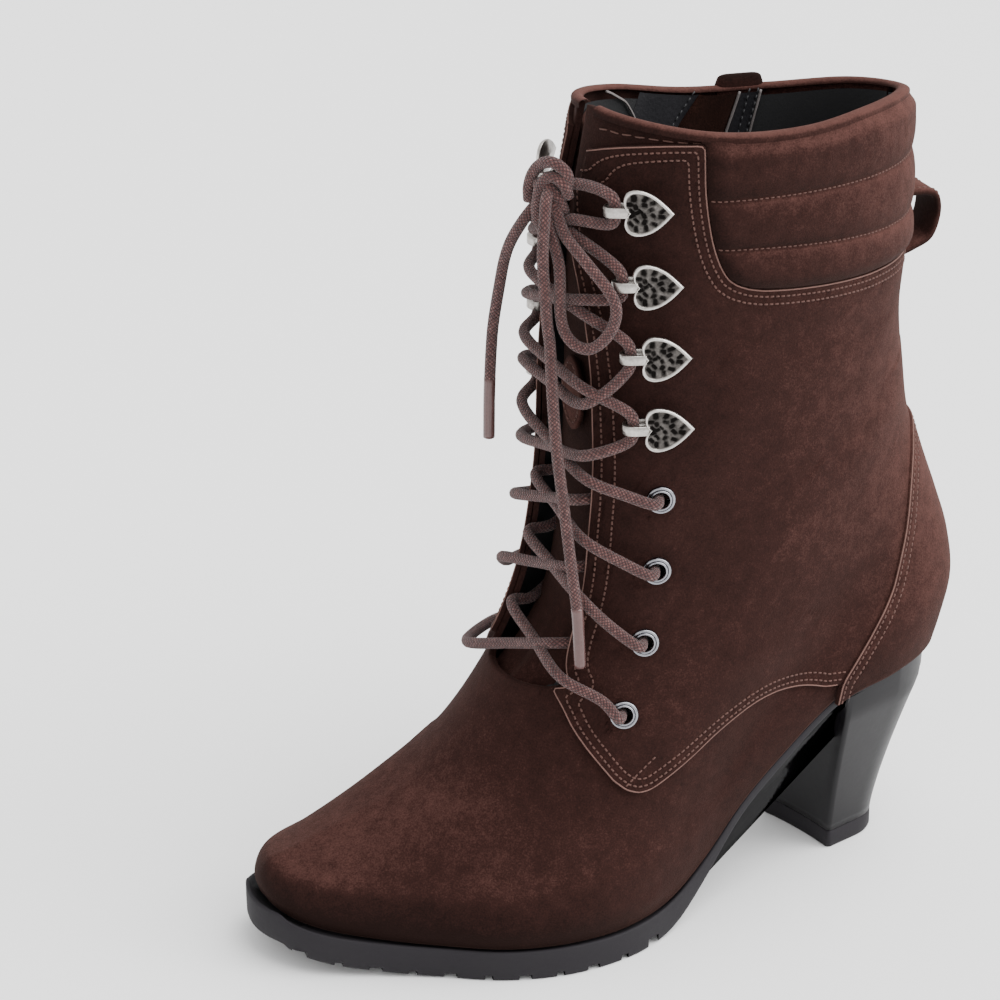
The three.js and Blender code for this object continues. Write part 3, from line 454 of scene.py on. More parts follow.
def rgb(code):
    parts = [int(code[k:k + 2], 16) / 255 for k in (0, 2, 4)]
    return tuple(p / 12.92 if p <= 0.04045 else ((p + 0.055) / 1.055) ** 2.4 for p in parts)


def suedeMaterial(name, dark, mid, light):
    s = Shader(name, 0.9)
    spot = s.place()
    patches = s.noise(spot, 26, 3, 0.55, 0.4)
    mottle = s.noise(spot, 200, 4, 0.62, 0.4)
    grain = s.noise(spot, 1900, 3, 0.75)
    nap = s.noise(spot, 700, 3, 0.7, 0.5)
    # Painted light and shade: the lean attribute paints suede facing up and towards the heel lighter, and suede facing
    # away darker
    facing = s.add("ShaderNodeAttribute", attribute_name="lean").outputs["Fac"]
    tone = s.math("MULTIPLY_ADD", patches, 0.16, 0.08)
    tone = s.math("MULTIPLY_ADD", mottle, 0.24, tone)
    tone = s.math("MULTIPLY_ADD", grain, 0.44, tone)
    tone = s.math("MULTIPLY_ADD", nap, 0.16, tone)
    tone = s.math("MULTIPLY_ADD", facing, 0.3, tone)
    # Painted shade: the suede is painted darker towards the bottom, below 90 mm above the floor
    height = s.add("ShaderNodeSeparateXYZ", {"Vector": spot}).outputs["Z"]
    tone = s.math("ADD", tone, s.between(height, 0.0, 0.09, -0.1, 0.0))
    shade = s.ramp(s.between(tone, 0.42, 0.86), [
        (0.0, rgb(dark)), (0.45, rgb(mid)), (1.0, rgb(light)),
    ])
    s.put("Base Color", shade)
    s.put("Specular IOR Level", 0.06)
    s.put("Sheen Weight", 0.1)
    s.put("Sheen Roughness", 0.5)
    s.put("Sheen Tint", (0.45, 0.26, 0.22, 1))
    height = s.math("ADD", s.math("MULTIPLY", grain, 0.7), s.math("MULTIPLY", mottle, 0.5))
    s.put("Normal", s.bump(height, 0.5, 0.0005))
    return s.material


def plainMaterial(name, colour, roughness, grainScale, grainStrength, vary=0.15, metallic=0.0, shine=0.5):
    s = Shader(name, roughness, metallic)
    s.put("Specular IOR Level", shine)
    spot = s.place()
    cloud = s.noise(spot, grainScale * 0.08, 3, 0.6)
    grain = s.noise(spot, grainScale, 3, 0.6)
    base = rgb(colour)
    darker = tuple(c * (1 - vary) for c in base)
    lighter = tuple(min(1, c * (1 + vary)) for c in base)
    tone = s.math("MULTIPLY_ADD", grain, 0.4, s.math("MULTIPLY", cloud, 0.6))
    s.put("Base Color", s.ramp(s.between(tone, 0.35, 0.65), [(0, darker), (1, lighter)]))
    s.put("Roughness", s.between(tone, 0.3, 0.7, roughness * 0.9, min(1, roughness * 1.1)))
    s.put("Normal", s.bump(grain, grainStrength, 0.0003))
    return s.material


def braidMaterial():
    s = Shader("lace", 0.85)
    parts = s.add("ShaderNodeSeparateXYZ", {"Vector": s.place(uv=True)})
    along, around = parts.outputs[0], parts.outputs[1]
    wound = s.math("MULTIPLY", around, 9)
    first = s.math("MULTIPLY_ADD", along, 0.85, wound)
    second = s.math("SUBTRACT", s.math("MULTIPLY", along, 0.85), wound)
    ribs = []
    for line in (first, second):
        wave = s.math("ABSOLUTE", s.math("SINE", s.math("MULTIPLY", line, math.pi)))
        ribs.append(s.math("POWER", wave, 0.6))
    height = s.math("MULTIPLY", ribs[0], ribs[1])
    cell = s.add("ShaderNodeCombineXYZ", {
        "X": s.math("FLOOR", first), "Y": s.math("FLOOR", second),
    })
    fleck = s.add("ShaderNodeTexWhiteNoise", {"Vector": cell.outputs[0]}).outputs["Value"]
    grain = s.noise(s.place(), 2600, 2, 0.6)
    # Painted shade: the grooves between the braid's ribs are painted darker and the ribs' tops lighter; the flecks and
    # grain are the cord's own colour
    tone = s.math("MULTIPLY_ADD", fleck, 0.3, s.math("MULTIPLY", height, 0.58))
    tone = s.math("MULTIPLY_ADD", grain, 0.2, tone)
    s.put("Base Color", s.ramp(tone, [
        (0.1, rgb("1d1011")), (0.5, rgb("412726")), (0.8, rgb("5c3b38")), (1.0, rgb("84605a")),
    ]))
    s.put("Specular IOR Level", 0.25)
    s.put("Sheen Weight", 0.15)
    rough = s.math("MULTIPLY_ADD", grain, 0.2, height)
    s.put("Normal", s.bump(rough, 0.8, 0.0006))
    return s.material


def silverMaterial():
    s = Shader("antique_silver", 0.35, 1.0)
    spot = s.place()
    wide = s.noise(spot, 260, 2, 0.5)
    fine = s.noise(spot, 1400, 3, 0.6)
    patina = s.add("ShaderNodeAttribute", attribute_name="patina").outputs["Fac"]
    tone = s.math("MULTIPLY_ADD", fine, 0.4, s.math("MULTIPLY", wide, 0.6))
    tone = s.math("MULTIPLY_ADD", s.between(tone, 0.35, 0.65), 0.3, patina)
    s.put("Base Color", s.ramp(tone, [
        (0, rgb("cdc9c4")), (0.3, rgb("a7a29d")), (0.62, rgb("5e5a57")), (1, rgb("161413")),
    ]))
    s.put("Roughness", s.between(tone, 0.1, 1.0, 0.28, 0.6))
    s.put("Normal", s.bump(fine, 0.12, 0.0003))
    return s.material


suede = suedeMaterial("suede", "170c0a", "2a1815", "4e332e")
innerSuede = suedeMaterial("inner_suede", "110806", "20110d", "3a231c")
edgeLeather = plainMaterial("cut_edge", "654840", 0.85, 1500, 0.4)
liningCloth = plainMaterial("lining", "141416", 0.9, 1600, 0.5)
blackLeather = plainMaterial("black_leather", "17161a", 0.5, 900, 0.35)
rubber = plainMaterial("rubber", "19161a", 0.75, 700, 0.25, shine=0.3)
lacquer = plainMaterial("heel_cover", "0b090c", 0.42, 500, 0.08, shine=0.24)
thread = plainMaterial("thread", "4d3129", 0.8, 3000, 0.3)
blackThread = plainMaterial("black_thread", "2a2a2c", 0.6, 3000, 0.3)
tapeCloth = plainMaterial("zip_tape", "101012", 0.85, 2400, 0.5)
gunmetal = plainMaterial("gunmetal", "8d8d92", 0.22, 900, 0.05, 0.1, 1.0)
clearTip = plainMaterial("lace_tip", "543c3a", 0.22, 900, 0.1)
lightEdge = plainMaterial("light_piping", "655f5e", 0.7, 1500, 0.3)
lace = braidMaterial()
silver = silverMaterial()


# Direction of the painted light: suede facing this way is painted lighter and suede facing away is painted darker,
# standing in for light from above and behind
paintedLightDirection = (-0.45, 0.05, 0.85)


# Meshes
def makePiece(name, verts, faces, material, slot, body="boot", uv=None, flat=False, normals=None):
    mesh = bpy.data.meshes.new(name)
    verts = np.asarray(verts, float) * MM
    mesh.from_pydata(verts.tolist(), [], [list(map(int, face)) for face in faces])
    mesh.validate()
    mesh.materials.append(material)
    if not flat:
        mesh.shade_smooth()
    if uv is not None:
        layer = mesh.uv_layers.new(name="UVMap")
        ids = np.empty(len(mesh.loops), int)
        mesh.loops.foreach_get("vertex_index", ids)
        layer.data.foreach_set("uv", np.asarray(uv, float)[ids].ravel())
    mesh.update()
    if normals is None:
        normals = np.empty(len(mesh.vertices) * 3)
        mesh.vertex_normals.foreach_get("vector", normals)
        normals = normals.reshape(-1, 3)
    # Painted light: lean is how far each vertex faces the painted light direction, and the suede shader paints light
    # and shade from it
    layer = mesh.attributes.new("lean", "FLOAT", "POINT")
    layer.data.foreach_set("value", normals @ np.array(paintedLightDirection))
    piece = bpy.data.objects.new(name, mesh)
    bpy.context.scene.collection.objects.link(piece)
    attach(piece, body)
    return piece


def gridFaces(rows, cols, ring=False, start=0):
    faces = []
    for i in range(rows - 1):
        for j in range(cols if ring else cols - 1):
            a = start + i * cols + j
            b = start + i * cols + (j + 1) % cols
            faces.append((a, b, b + cols, a + cols))
    return faces


def tubes(paths, radius, sides=12, closedEnds=True):
    verts, faces, uvs = [], [], []
    for path in paths:
        tangents = np.gradient(path, axis=0)
        tangents /= np.linalg.norm(tangents, axis=1, keepdims=True)
        normal = np.cross(tangents[0], [0.3, 0.5, 0.8])
        normal /= np.linalg.norm(normal)
        length = np.concatenate([[0], np.cumsum(np.linalg.norm(np.diff(path, axis=0), axis=1))])
        start = len(verts)
        radii = radius if hasattr(radius, "__len__") else np.full(len(path), radius)
        for k, point in enumerate(path):
            normal = normal - tangents[k] * np.dot(normal, tangents[k])
            normal /= np.linalg.norm(normal)
            binormal = np.cross(tangents[k], normal)
            for j in range(sides + 1):
                angle = 2 * math.pi * j / sides
                verts.append(point + radii[k] * (math.cos(angle) * normal + math.sin(angle) * binormal))
                uvs.append((length[k], j / sides))
        faces += [(a, d, c, b) for a, b, c, d in gridFaces(len(path), sides + 1, start=start)]
        if closedEnds:
            for row, flip in ((0, False), (len(path) - 1, True)):
                ring = [start + row * (sides + 1) + j for j in range(sides)]
                faces.append(ring if not flip else ring[::-1])
    return verts, [tuple(reversed(face)) for face in faces], uvs


# Free parts of the lace, on the routes that the part's source gives
knotPlace = np.array([99, 4, 235.0])
laceRoutes = {
    "lace_end_short": [
        [99, 1, 232], [102, -1, 228], [104.5, -3, 223.5], [106.5, -7, 216], [107, -10, 209.5],
        [107.6, -12.3, 200], [108.5, -14.6, 187], [109, -15, 178.5], [109.5, -15.2, 166],
        [109.5, -15.7, 151.5],
    ],
    "lace_end_long": [
        [101, 6.5, 236], [104.2, 10, 234.5], [106.3, 12.8, 229.5], [107, 13, 221],
        [107, 13.2, 214], [107, 14.5, 206.5], [106.7, 15, 199], [106, 15.3, 192.5],
        [106.3, 17.4, 177], [106, 19.6, 160], [104.9, 21.8, 143], [103.8, 25.3, 121],
        [103, 26.5, 110.7], [102.5, 27.2, 94],
    ],
    "lace_loop_outer": [
        [99, 6, 234], [100.5, 9.5, 229.5], [100.5, 13.5, 224.5], [99.1, 19.2, 220.5],
        [96.5, 24.5, 215.5], [94, 27.7, 211], [92.5, 29.2, 206.5], [93.1, 29.1, 201.2],
        [95.4, 27.6, 196.4], [98.4, 24.9, 193.2], [101.2, 21.6, 193.7], [103, 18.3, 197.1],
        [103.4, 16.6, 203], [103, 15.8, 209], [102.6, 14.5, 215.5], [102.9, 12.4, 221],
        [103, 9.8, 225.5], [101.5, 7, 230], [99.5, 5, 233],
    ],
    "lace_loop_inner": [
        [96.5, 9, 236], [98.5, 11, 241.5], [101, 8.5, 244.1], [102.6, 3.9, 242.5],
        [103.8, 1.2, 239], [104.2, -0.6, 234.5], [103.6, -1.6, 230],
    ],
}
for name, route in laceRoutes.items():
    path = centripetal(route, 1.0)
    verts, faces, uv = tubes([path], laceRadius)
    piece = makePiece(f"{name}_cord", verts, faces, lace, "lace", uv=uv)
    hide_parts(name)
    if name.startswith("lace_end"):
        sleeve = path[-int(20 / 1.0):]
        verts, faces, uv = tubes([sleeve], laceRadius + 0.05)
        tip = makePiece(f"{name}_tip", verts, faces, clearTip, "lace", uv=uv)
print("free laces")


# Fastened frames on the surface: x to the throat, z outward
def fastenedFrame(turn, up, offset):
    point, outward = formPoint(turn, up), formNormal(turn, up)
    toThroat = np.array([1.0, 0, 0]) - outward * outward[0]
    toThroat /= np.linalg.norm(toThroat)
    upward = np.cross(outward, toThroat)
    axes = np.stack([toThroat, upward, outward], 1)
    return axes, point + outward * offset


def inFrame(place, points):
    axes, origin = place
    return np.asarray(points, float) @ axes.T + origin


# The lace pulls the inner hooks a little forward and down
hookSettle = [1.5, -3.0]


def rowPlaces(side):
    def lineX(z):
        rise = (z - seatHeight) / (collarBack - seatHeight)
        return float(alongX(smooth(rowLine, "rise", "along", rise)))

    spots, z, x, step = [], 77.0, lineX(77.0), 0.25
    for row in range(8):
        spots.append((x, z))
        spacing = 24.5 if row == 3 else 22.7 if row < 4 else 21.5
        walked = 0
        while walked < spacing:
            ahead = lineX(z + step)
            walked += math.hypot(ahead - x, step)
            x, z = ahead, z + step
    spots = np.array(spots)
    if side < 0:
        spots[4:] += hookSettle
    turn, up = placeOnSide(spots[:, 0], spots[:, 1], side)
    return list(zip(turn, up))


rows = {"outer": rowPlaces(1), "inner": rowPlaces(-1)}
otherSide = {"outer": "inner", "inner": "outer"}
laceLift = faceOffset + laceRadius + fit + 0.8


def laceAtHook(side, row, above):
    beside = hookWidth / 2 + laceRadius + fit
    across = -beside if (side == "outer") == above else beside
    place = fastenedFrame(*rows[side][row], metalSeat)
    return inFrame(place, [hookBend + 0.5, across, hookMetal + laceRadius])


def laceUnderHook(side, row):
    place = fastenedFrame(*rows[side][row], metalSeat)
    return inFrame(place, [hookBend - 0.2, 0, hookMetal + laceRadius])


def laceAtEdge(side, z, inset, lift):
    rise = (z - seatHeight) / (collarBack - seatHeight)
    y = (throatHalf(rise) + inset) * (1 if side == "outer" else -1)
    turn, up = placeInFront(z, y)
    return offsetPoint(turn, up, lift)


crossings = [
    {"outer": (0.5, 1.0), "inner": (0.15, 0.88)},
    {"outer": (0.7, 0.95), "inner": (0.45, 0.95)},
    {"outer": (0.48, 0.75), "inner": (0.33, 0.9)},
    {"outer": (0.33, 0.7), "inner": (0.15, 0.6)},
    {"outer": (0.55, 0.7), "inner": (0.3, 0.36)},
    {"outer": (0.6, 0.7), "inner": (0.3, 0.72)},
    {"outer": (0.6, 0.7), "inner": (0.3, 0.72)},
]


def eyeletPoints(side, row, below):
    place = fastenedFrame(*rows[side][row], 0)
    deep = [[0.6, 0, -wall - 4.2], [0.4, 0, -wall - 0.6]] if below else []
    return list(inFrame(place, [*deep, [0.5, 0, 0.4], [1.8, 0, laceLift + 0.9]]))


def strandPoints(row, side):
    other = otherSide[side]
    low = formPoint(*rows[side][row])
    spacing = formPoint(*rows[other][row + 1])[2] - low[2]
    edgeShare, endShare = crossings[row][side]
    points = []
    if row >= 4:
        points += [laceUnderHook(side, row), laceAtHook(side, row, True)]
    else:
        points += eyeletPoints(side, row, True)
        points.append(laceAtEdge(side, low[2] + 0.45 * edgeShare * spacing, 6, laceLift + 1.4))
    ownEdge = laceAtEdge(side, low[2] + edgeShare * spacing, 0, laceLift + 1.4)
    endHeight = low[2] + endShare * spacing
    if row + 1 >= 4:
        end = [
            laceAtEdge(other, endHeight, 0, laceLift + 1.4),
            laceAtHook(other, row + 1, False),
            laceUnderHook(other, row + 1),
        ]
    else:
        beneath = fastenedFrame(*rows[other][row + 1], 0)
        end = [
            laceAtEdge(other, endHeight, -laceRadius - 0.8, -0.5),
            laceAtEdge(other, endHeight, 2.5, -wall - 3.4),
            inFrame(beneath, [2.2, 0, -wall - 4.0]),
        ]
    middle = (ownEdge + end[0]) / 2
    middle[0] += 1.2 if row + 1 >= 4 else 0.6
    return [*points, ownEdge, middle, *end]


strands = []
for row in range(7):
    for side in otherSide:
        strands.append(centripetal(strandPoints(row, side), 1.0))
verts, faces, uv = tubes(strands, laceRadius)
crossingLace = makePiece("lace_crossings", verts, faces, lace, "lace", uv=uv)
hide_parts(*[f"lace_crossing_{k}" for k in range(1, 8)])

# The knot: the two top strands come in and the lace winds round itself
knotPaths = []
for side, drop, into in (("outer", -1.5, (101.5, 9, 231)), ("inner", -7, (100, 0, 231))):
    top = laceAtHook(side, 7, side == "outer")
    edge = laceAtEdge(side, top[2] + drop, 0, laceLift + 1.4)
    knotPaths.append(centripetal([laceUnderHook(side, 7), top, edge, into, knotPlace], 1.0))
knotPaths.append(centripetal([
    [97.5, 10.5, 234], [99.5, 11, 238.5], [102, 8, 240], [103.6, 5.5, 236.5], [103.6, 3.5, 231],
    [102.5, 1.5, 225], [100.5, -1, 222],
], 1.0))
knotPaths.append(centripetal([
    [98, 2, 230], [101, 0.5, 233], [102.8, 3, 236.5], [102.5, 7, 237], [100, 9.5, 233.5],
    [98, 9, 229],
], 1.0))
verts, faces, uv = tubes(knotPaths, laceRadius)
knot = makePiece("lace_knot_wound", verts, faces, lace, "lace", uv=uv)
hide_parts("lace_knot")
print("lacing")


# Panels: triangles in the form's own coordinates, cut along fields of distance
def paramGrid(turns, ups):
    grid = np.stack(np.meshgrid(turns, ups), -1).reshape(-1, 2)
    cols = len(turns)
    quads = np.array(gridFaces(len(ups), cols))
    return grid, np.vstack([quads[:, [0, 1, 2]], quads[:, [0, 2, 3]]])


def sliceAt(params, faces, values, level, keep):
    shifted = values - level
    shifted = np.where(np.abs(shifted) < 0.04, 0.0, shifted)
    above = shifted >= 0
    count = above[faces].sum(1)
    inside, outside = faces[count == 3], faces[count == 0]
    crossed = faces[(count == 1) | (count == 2)]
    flags = above[crossed]
    single = flags.sum(1) == 1
    odd = np.where(single, flags.argmax(1), (~flags).argmax(1))
    order = (odd[:, None] + np.arange(3)) % 3
    a, b, c = np.take_along_axis(crossed, order, 1).T
    keys = np.concatenate([np.stack([a, b], 1), np.stack([a, c], 1)])
    keys.sort(axis=1)
    unique, index = np.unique(keys, axis=0, return_inverse=True)
    index = index.ravel()
    first, second = unique.T
    t = shifted[first] / (shifted[first] - shifted[second])
    added = params[first] + (params[second] - params[first]) * t[:, None]
    p = len(params) + index[:len(a)]
    q = len(params) + index[len(a):]
    tips = np.stack([a, p, q], 1)
    bases = np.vstack([np.stack([p, b, c], 1), np.stack([p, c, q], 1)])
    double = np.concatenate([single, single])
    if keep:
        parts = [inside, tips[single], bases[~double]]
    else:
        parts = [inside, outside, tips, bases]
    joined = np.vstack(parts)
    joined = joined[(joined[:, 0] != joined[:, 1]) & (joined[:, 1] != joined[:, 2])]
    every = np.vstack([params, added])
    used, faces = np.unique(joined, return_inverse=True)
    return every[used], faces.reshape(-1, 3)


def polygonDistance(points, polygon):
    a, b = polygon, np.roll(polygon, -1, axis=0)
    edge = b - a
    best = np.full(len(points), 1e9)
    odd = np.zeros(len(points), bool)
    for k in range(len(a)):
        offset = points - a[k]
        t = np.clip(offset @ edge[k] / max(edge[k] @ edge[k], 1e-9), 0, 1)
        best = np.minimum(best, np.linalg.norm(offset - t[:, None] * edge[k], axis=1))
        spans = (a[k, 1] > points[:, 1]) != (b[k, 1] > points[:, 1])
        with np.errstate(divide="ignore", invalid="ignore"):
            cross = a[k, 0] + (points[:, 1] - a[k, 1]) / edge[k, 1] * edge[k, 0]
        odd ^= spans & (points[:, 0] < cross)
    return np.where(odd, best, -best)


def rounded(polygon, passes=2):
    for _ in range(passes):
        ahead = np.roll(polygon, -1, axis=0)
        polygon = np.stack([polygon * 0.75 + ahead * 0.25, polygon * 0.25 + ahead * 0.75], 1)
        polygon = polygon.reshape(-1, 2)
    return polygon


def sideOutline(table, inner=False):
    shift = table["innerShift"] if inner and "innerShift" in table else 0
    return rounded(np.stack([alongX(table["along"] - shift), riseZ(table["rise"])], 1))


def throatOutline():
    above = throat["rise"] > throatBase
    half = throat["half"][above] * ballWidth
    z = riseZ(throat["rise"][above])
    foot = float(smooth(throat, "rise", "half", throatBase)) * ballWidth
    low = float(riseZ(throatBase))
    right = [[foot * 0.6, low], [foot * 0.9, low + 2], *np.stack([half, z], 1).tolist()]
    left = [[-y, z] for y, z in reversed(right)]
    outline = np.array([[y + lastShift, z] for y, z in right + left])
    outline[:, 0] -= 5.5 * smoothstep(outline[:, 1], riseZ(0.72), riseZ(0.92))
    return rounded(outline, 1)


throatShape = throatOutline()


def throatField(points):
    inside = polygonDistance(points[:, 1:], throatShape)
    return np.where(points[:, 0] > alongX(0.3), -inside, 40.0)


def holeField(points):
    best = np.full(len(points), 40.0)
    for side in rows:
        for turn, up in rows[side][:4]:
            best = np.minimum(best, np.linalg.norm(points - formPoint(turn, up), axis=1) - 2.7)
    return best


def zipField(points):
    x = alongX(smooth(zipLine, "rise", "along", (points[:, 2] - seatHeight) / (collarBack - seatHeight)))
    return np.where(points[:, 1] < lastShift, np.abs(points[:, 0] - x) - 4.8, 40.0)


# Cut panel with a rounded raw edge, its wall going down to foot
def panel(name, turns, ups, field, top, foot, material, nodes, slot="suede", edge=0.8, cuts=()):
    params, faces = paramGrid(turns, ups)
    params, faces = sliceAt(params, faces, field(formPoint(*params.T)), 0, True)
    for level in (0.25 * edge, edge, *cuts):
        params, faces = sliceAt(params, faces, field(formPoint(*params.T)), level, False)
    points = formPoint(*params.T)
    normals = formNormal(*params.T)
    away = np.clip(field(points), 0, None)
    round_ = np.sqrt(np.clip(1 - (1 - np.clip(away / edge, 0, 1)) ** 2, 0, 1))
    offset = top(points, away, params) - (1 - round_) * edge
    verts = points + normals * offset[:, None]
    pairs = np.vstack([faces[:, [0, 1]], faces[:, [1, 2]], faces[:, [2, 0]]])
    keys = np.sort(pairs, axis=1)
    _, index, count = np.unique(keys, axis=0, return_index=True, return_counts=True)
    rim = pairs[index[count == 1]]
    border = np.unique(rim)
    lower = {int(v): len(verts) + k for k, v in enumerate(border)}
    verts = np.vstack([verts, points[border] + normals[border] * foot])
    walls = [(int(b), int(a), lower[int(a)], lower[int(b)]) for a, b in rim]
    sides = np.vstack([normals, normals[border]])
    made = makePiece(name, verts, [*faces.tolist(), *walls], material, slot, normals=sides)
    if nodes:
        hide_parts(*nodes)
    return made


# Soft creases: x and z of both ends seen from the side, depth and width, and the side
creases = [
    (118, 52, 96, 38, 0.5, 5.0, 1),
    (128, 40, 112, 26, 0.35, 4.0, 1),
    (104, 30, 88, 20, 0.3, 3.0, 1),
    (96, 34, 84, 22, 0.3, 3.0, 1),
    (72, 112, 40, 100, 0.5, 7.0, 1),
    (60, 96, 30, 92, 0.4, 5.0, 1),
    (76, 160, 66, 176, 0.6, 8.0, 1),
    (20, 150, 2, 160, 0.5, 7.0, 1),
    (40, 188, 10, 184, 0.4, 6.0, 1),
    (116, 50, 98, 40, 0.5, 5.0, -1),
    (70, 110, 30, 98, 0.6, 7.0, -1),
    (20, 150, 0, 158, 0.5, 7.0, -1),
]


def relief(points):
    total = np.zeros(len(points))
    for x0, z0, x1, z1, depth, width, side in creases:
        start, run = np.array([x0, z0]), np.array([x1 - x0, z1 - z0], float)
        offset = points[:, [0, 2]] - start
        along = np.clip(offset @ run / (run @ run), 0, 1)
        away = np.linalg.norm(offset - along[:, None] * run, axis=1)
        across = offset @ np.array([-run[1], run[0]]) / np.linalg.norm(run)
        fade = smoothstep(side * (points[:, 1] - lastShift), -2, 8)
        trough = np.exp(-((away / width) ** 2))
        ridge = 0.6 * np.exp(-(((away - 1.6 * width) / width) ** 2)) * (across > 0)
        total += fade * depth * (ridge - trough)
    return total


# Lines of one distance from a panel's edge, as chained points of the form's coordinates
def contours(turns, ups, field, level):
    params, faces = paramGrid(turns, ups)
    values = field(formPoint(*params.T)) - level
    above = values >= 0
    count = above[faces].sum(1)
    links, places = {}, {}
    for face in faces[(count == 1) | (count == 2)]:
        ends = []
        for k in range(3):
            i, j = int(face[k]), int(face[(k + 1) % 3])
            if above[i] != above[j]:
                key = (min(i, j), max(i, j))
                t = values[i] / (values[i] - values[j])
                places[key] = params[i] + (params[j] - params[i]) * t
                ends.append(key)
        if len(ends) == 2:
            links.setdefault(ends[0], []).append(ends[1])
            links.setdefault(ends[1], []).append(ends[0])
    lines, seen = [], set()
    for start in sorted(links, key=lambda key: len(links[key])):
        if start in seen:
            continue
        line, here = [], start
        while here is not None and here not in seen:
            seen.add(here)
            line.append(places[here])
            here = next((other for other in links[here] if other not in seen), None)
        if len(line) > 12:
            lines.append(np.array(line))
    return lines


def onSurface(params, offset):
    points = formPoint(*params.T)
    normals = formNormal(*params.T)
    return points + normals * (offset + relief(points))[:, None], normals


def softened(line, passes):
    for _ in range(passes):
        line = np.vstack([line[:1], (line[:-2] + 2 * line[1:-1] + line[2:]) / 4, line[-1:]])
    return line


def runsOf(line, keep):
    runs, current = [], []
    for point, flag in zip(line, keep):
        if flag:
            current.append(point)
        elif current:
            runs.append(np.array(current))
            current = []
    if current:
        runs.append(np.array(current))
    return [run for run in runs if len(run) > 6]


# Short rounded bars: each has a middle, an outward direction and its own long direction
def capsules(bars, length, radius, lifts=(0, 0, 0, 0, 0)):
    verts, faces = [], []
    for middle, up, run in bars:
        across = np.cross(up, run)
        start = len(verts)
        for t, size, lift in zip((-0.5, -0.4, 0.0, 0.4, 0.5), (0.4, 0.9, 1.0, 0.9, 0.4), lifts):
            spot = middle + run * t * length + up * lift
            for k in range(6):
                angle = 2 * math.pi * k / 6
                verts.append(spot + size * radius * (math.cos(angle) * across + math.sin(angle) * up))
        faces += gridFaces(5, 6, ring=True, start=start)
        faces.append(tuple(start + k for k in range(5, -1, -1)))
        faces.append(tuple(start + 24 + k for k in range(6)))
    return verts, faces


# One mesh of short sunk stitches along lines of points with their normals
def stitchMesh(name, lines, pitch, length, radius, material, slot="suede"):
    bars = []
    for points, normals in lines:
        both = resample(np.hstack([points, normals]), pitch)
        if len(both) < 3:
            continue
        spots = both[:, :3]
        tangents = np.gradient(spots, axis=0)
        tangents /= np.linalg.norm(tangents, axis=1, keepdims=True)
        for spot, up, tangent in zip(spots, both[:, 3:], tangents):
            up = up / np.linalg.norm(up)
            run = tangent + np.cross(up, tangent) * rng.normal(0, 0.07)
            bars.append((spot, up, run))
    verts, faces = capsules(bars, length, radius, (-0.5 * radius, 0, 0.2 * radius, 0, -0.5 * radius))
    return makePiece(name, verts, faces, material, slot)


def baseField(points):
    return np.minimum(throatField(points), holeField(points))


turnsRound = np.linspace(-math.pi, math.pi, 250)
upsAll = np.linspace(0, 1, 120)
panel("upper_suede", turnsRound, upsAll, baseField,
      lambda p, d, q: relief(p), -wall, suede, ["upper"])


def quarterField(side):
    shape = sideOutline(quarterOutline, side < 0)

    def field(points):
        value = polygonDistance(points[:, [0, 2]], shape)
        value = np.minimum(value, throatField(points))
        value = np.minimum(value, holeField(points))
        return np.minimum(value, zipField(points)) if side < 0 else value

    return field


def quarterTop(points, away, params):
    groove = np.exp(-((away - 2.2) / 0.45) ** 2) + np.exp(-((away - 4.4) / 0.45) ** 2)
    return faceOffset - 0.18 * groove + relief(points)


for side, name in ((1, "lateral"), (-1, "medial")):
    turns = np.linspace(0.12, math.pi, 150) * side
    if side < 0:
        turns = turns[::-1]
    panel(f"quarter_{name}_suede", turns, np.linspace(0.05, 1, 190), quarterField(side),
          quarterTop, 0.0, suede, [f"quarter_{name}"], cuts=(1.8, 2.7, 3.9, 4.9))

counterShape = sideOutline(counterOutline)


def counterField(points):
    return polygonDistance(points[:, [0, 2]], counterShape)


panel("counter_suede", np.linspace(1.55, 2 * math.pi - 1.55, 150), np.linspace(0, 0.62, 110),
      counterField,
      lambda p, d, q: 2.7 + relief(p) - 0.25 * np.exp(-((d - 1.4) / 0.45) ** 2)
      - 0.2 * np.exp(-((d - 3.8) / 0.45) ** 2),
      0.8, suede, ["counter"], cuts=(0.9, 1.9, 3.3, 4.3))


# Stitch rows and light raw edges along the panels
def panelField(side):
    shape = sideOutline(quarterOutline, side < 0)

    def field(points):
        value = np.minimum(polygonDistance(points[:, [0, 2]], shape), throatField(points))
        return np.minimum(value, zipField(points)) if side < 0 else value

    return field


def seamLines(turns, ups, field, level, offset, keep):
    lines = []
    for params in contours(turns, ups, field, level):
        params = softened(params, 4)
        points = formPoint(*params.T)
        for run in runsOf(params, keep(points)):
            lines.append(onSurface(run, offset))
    return lines


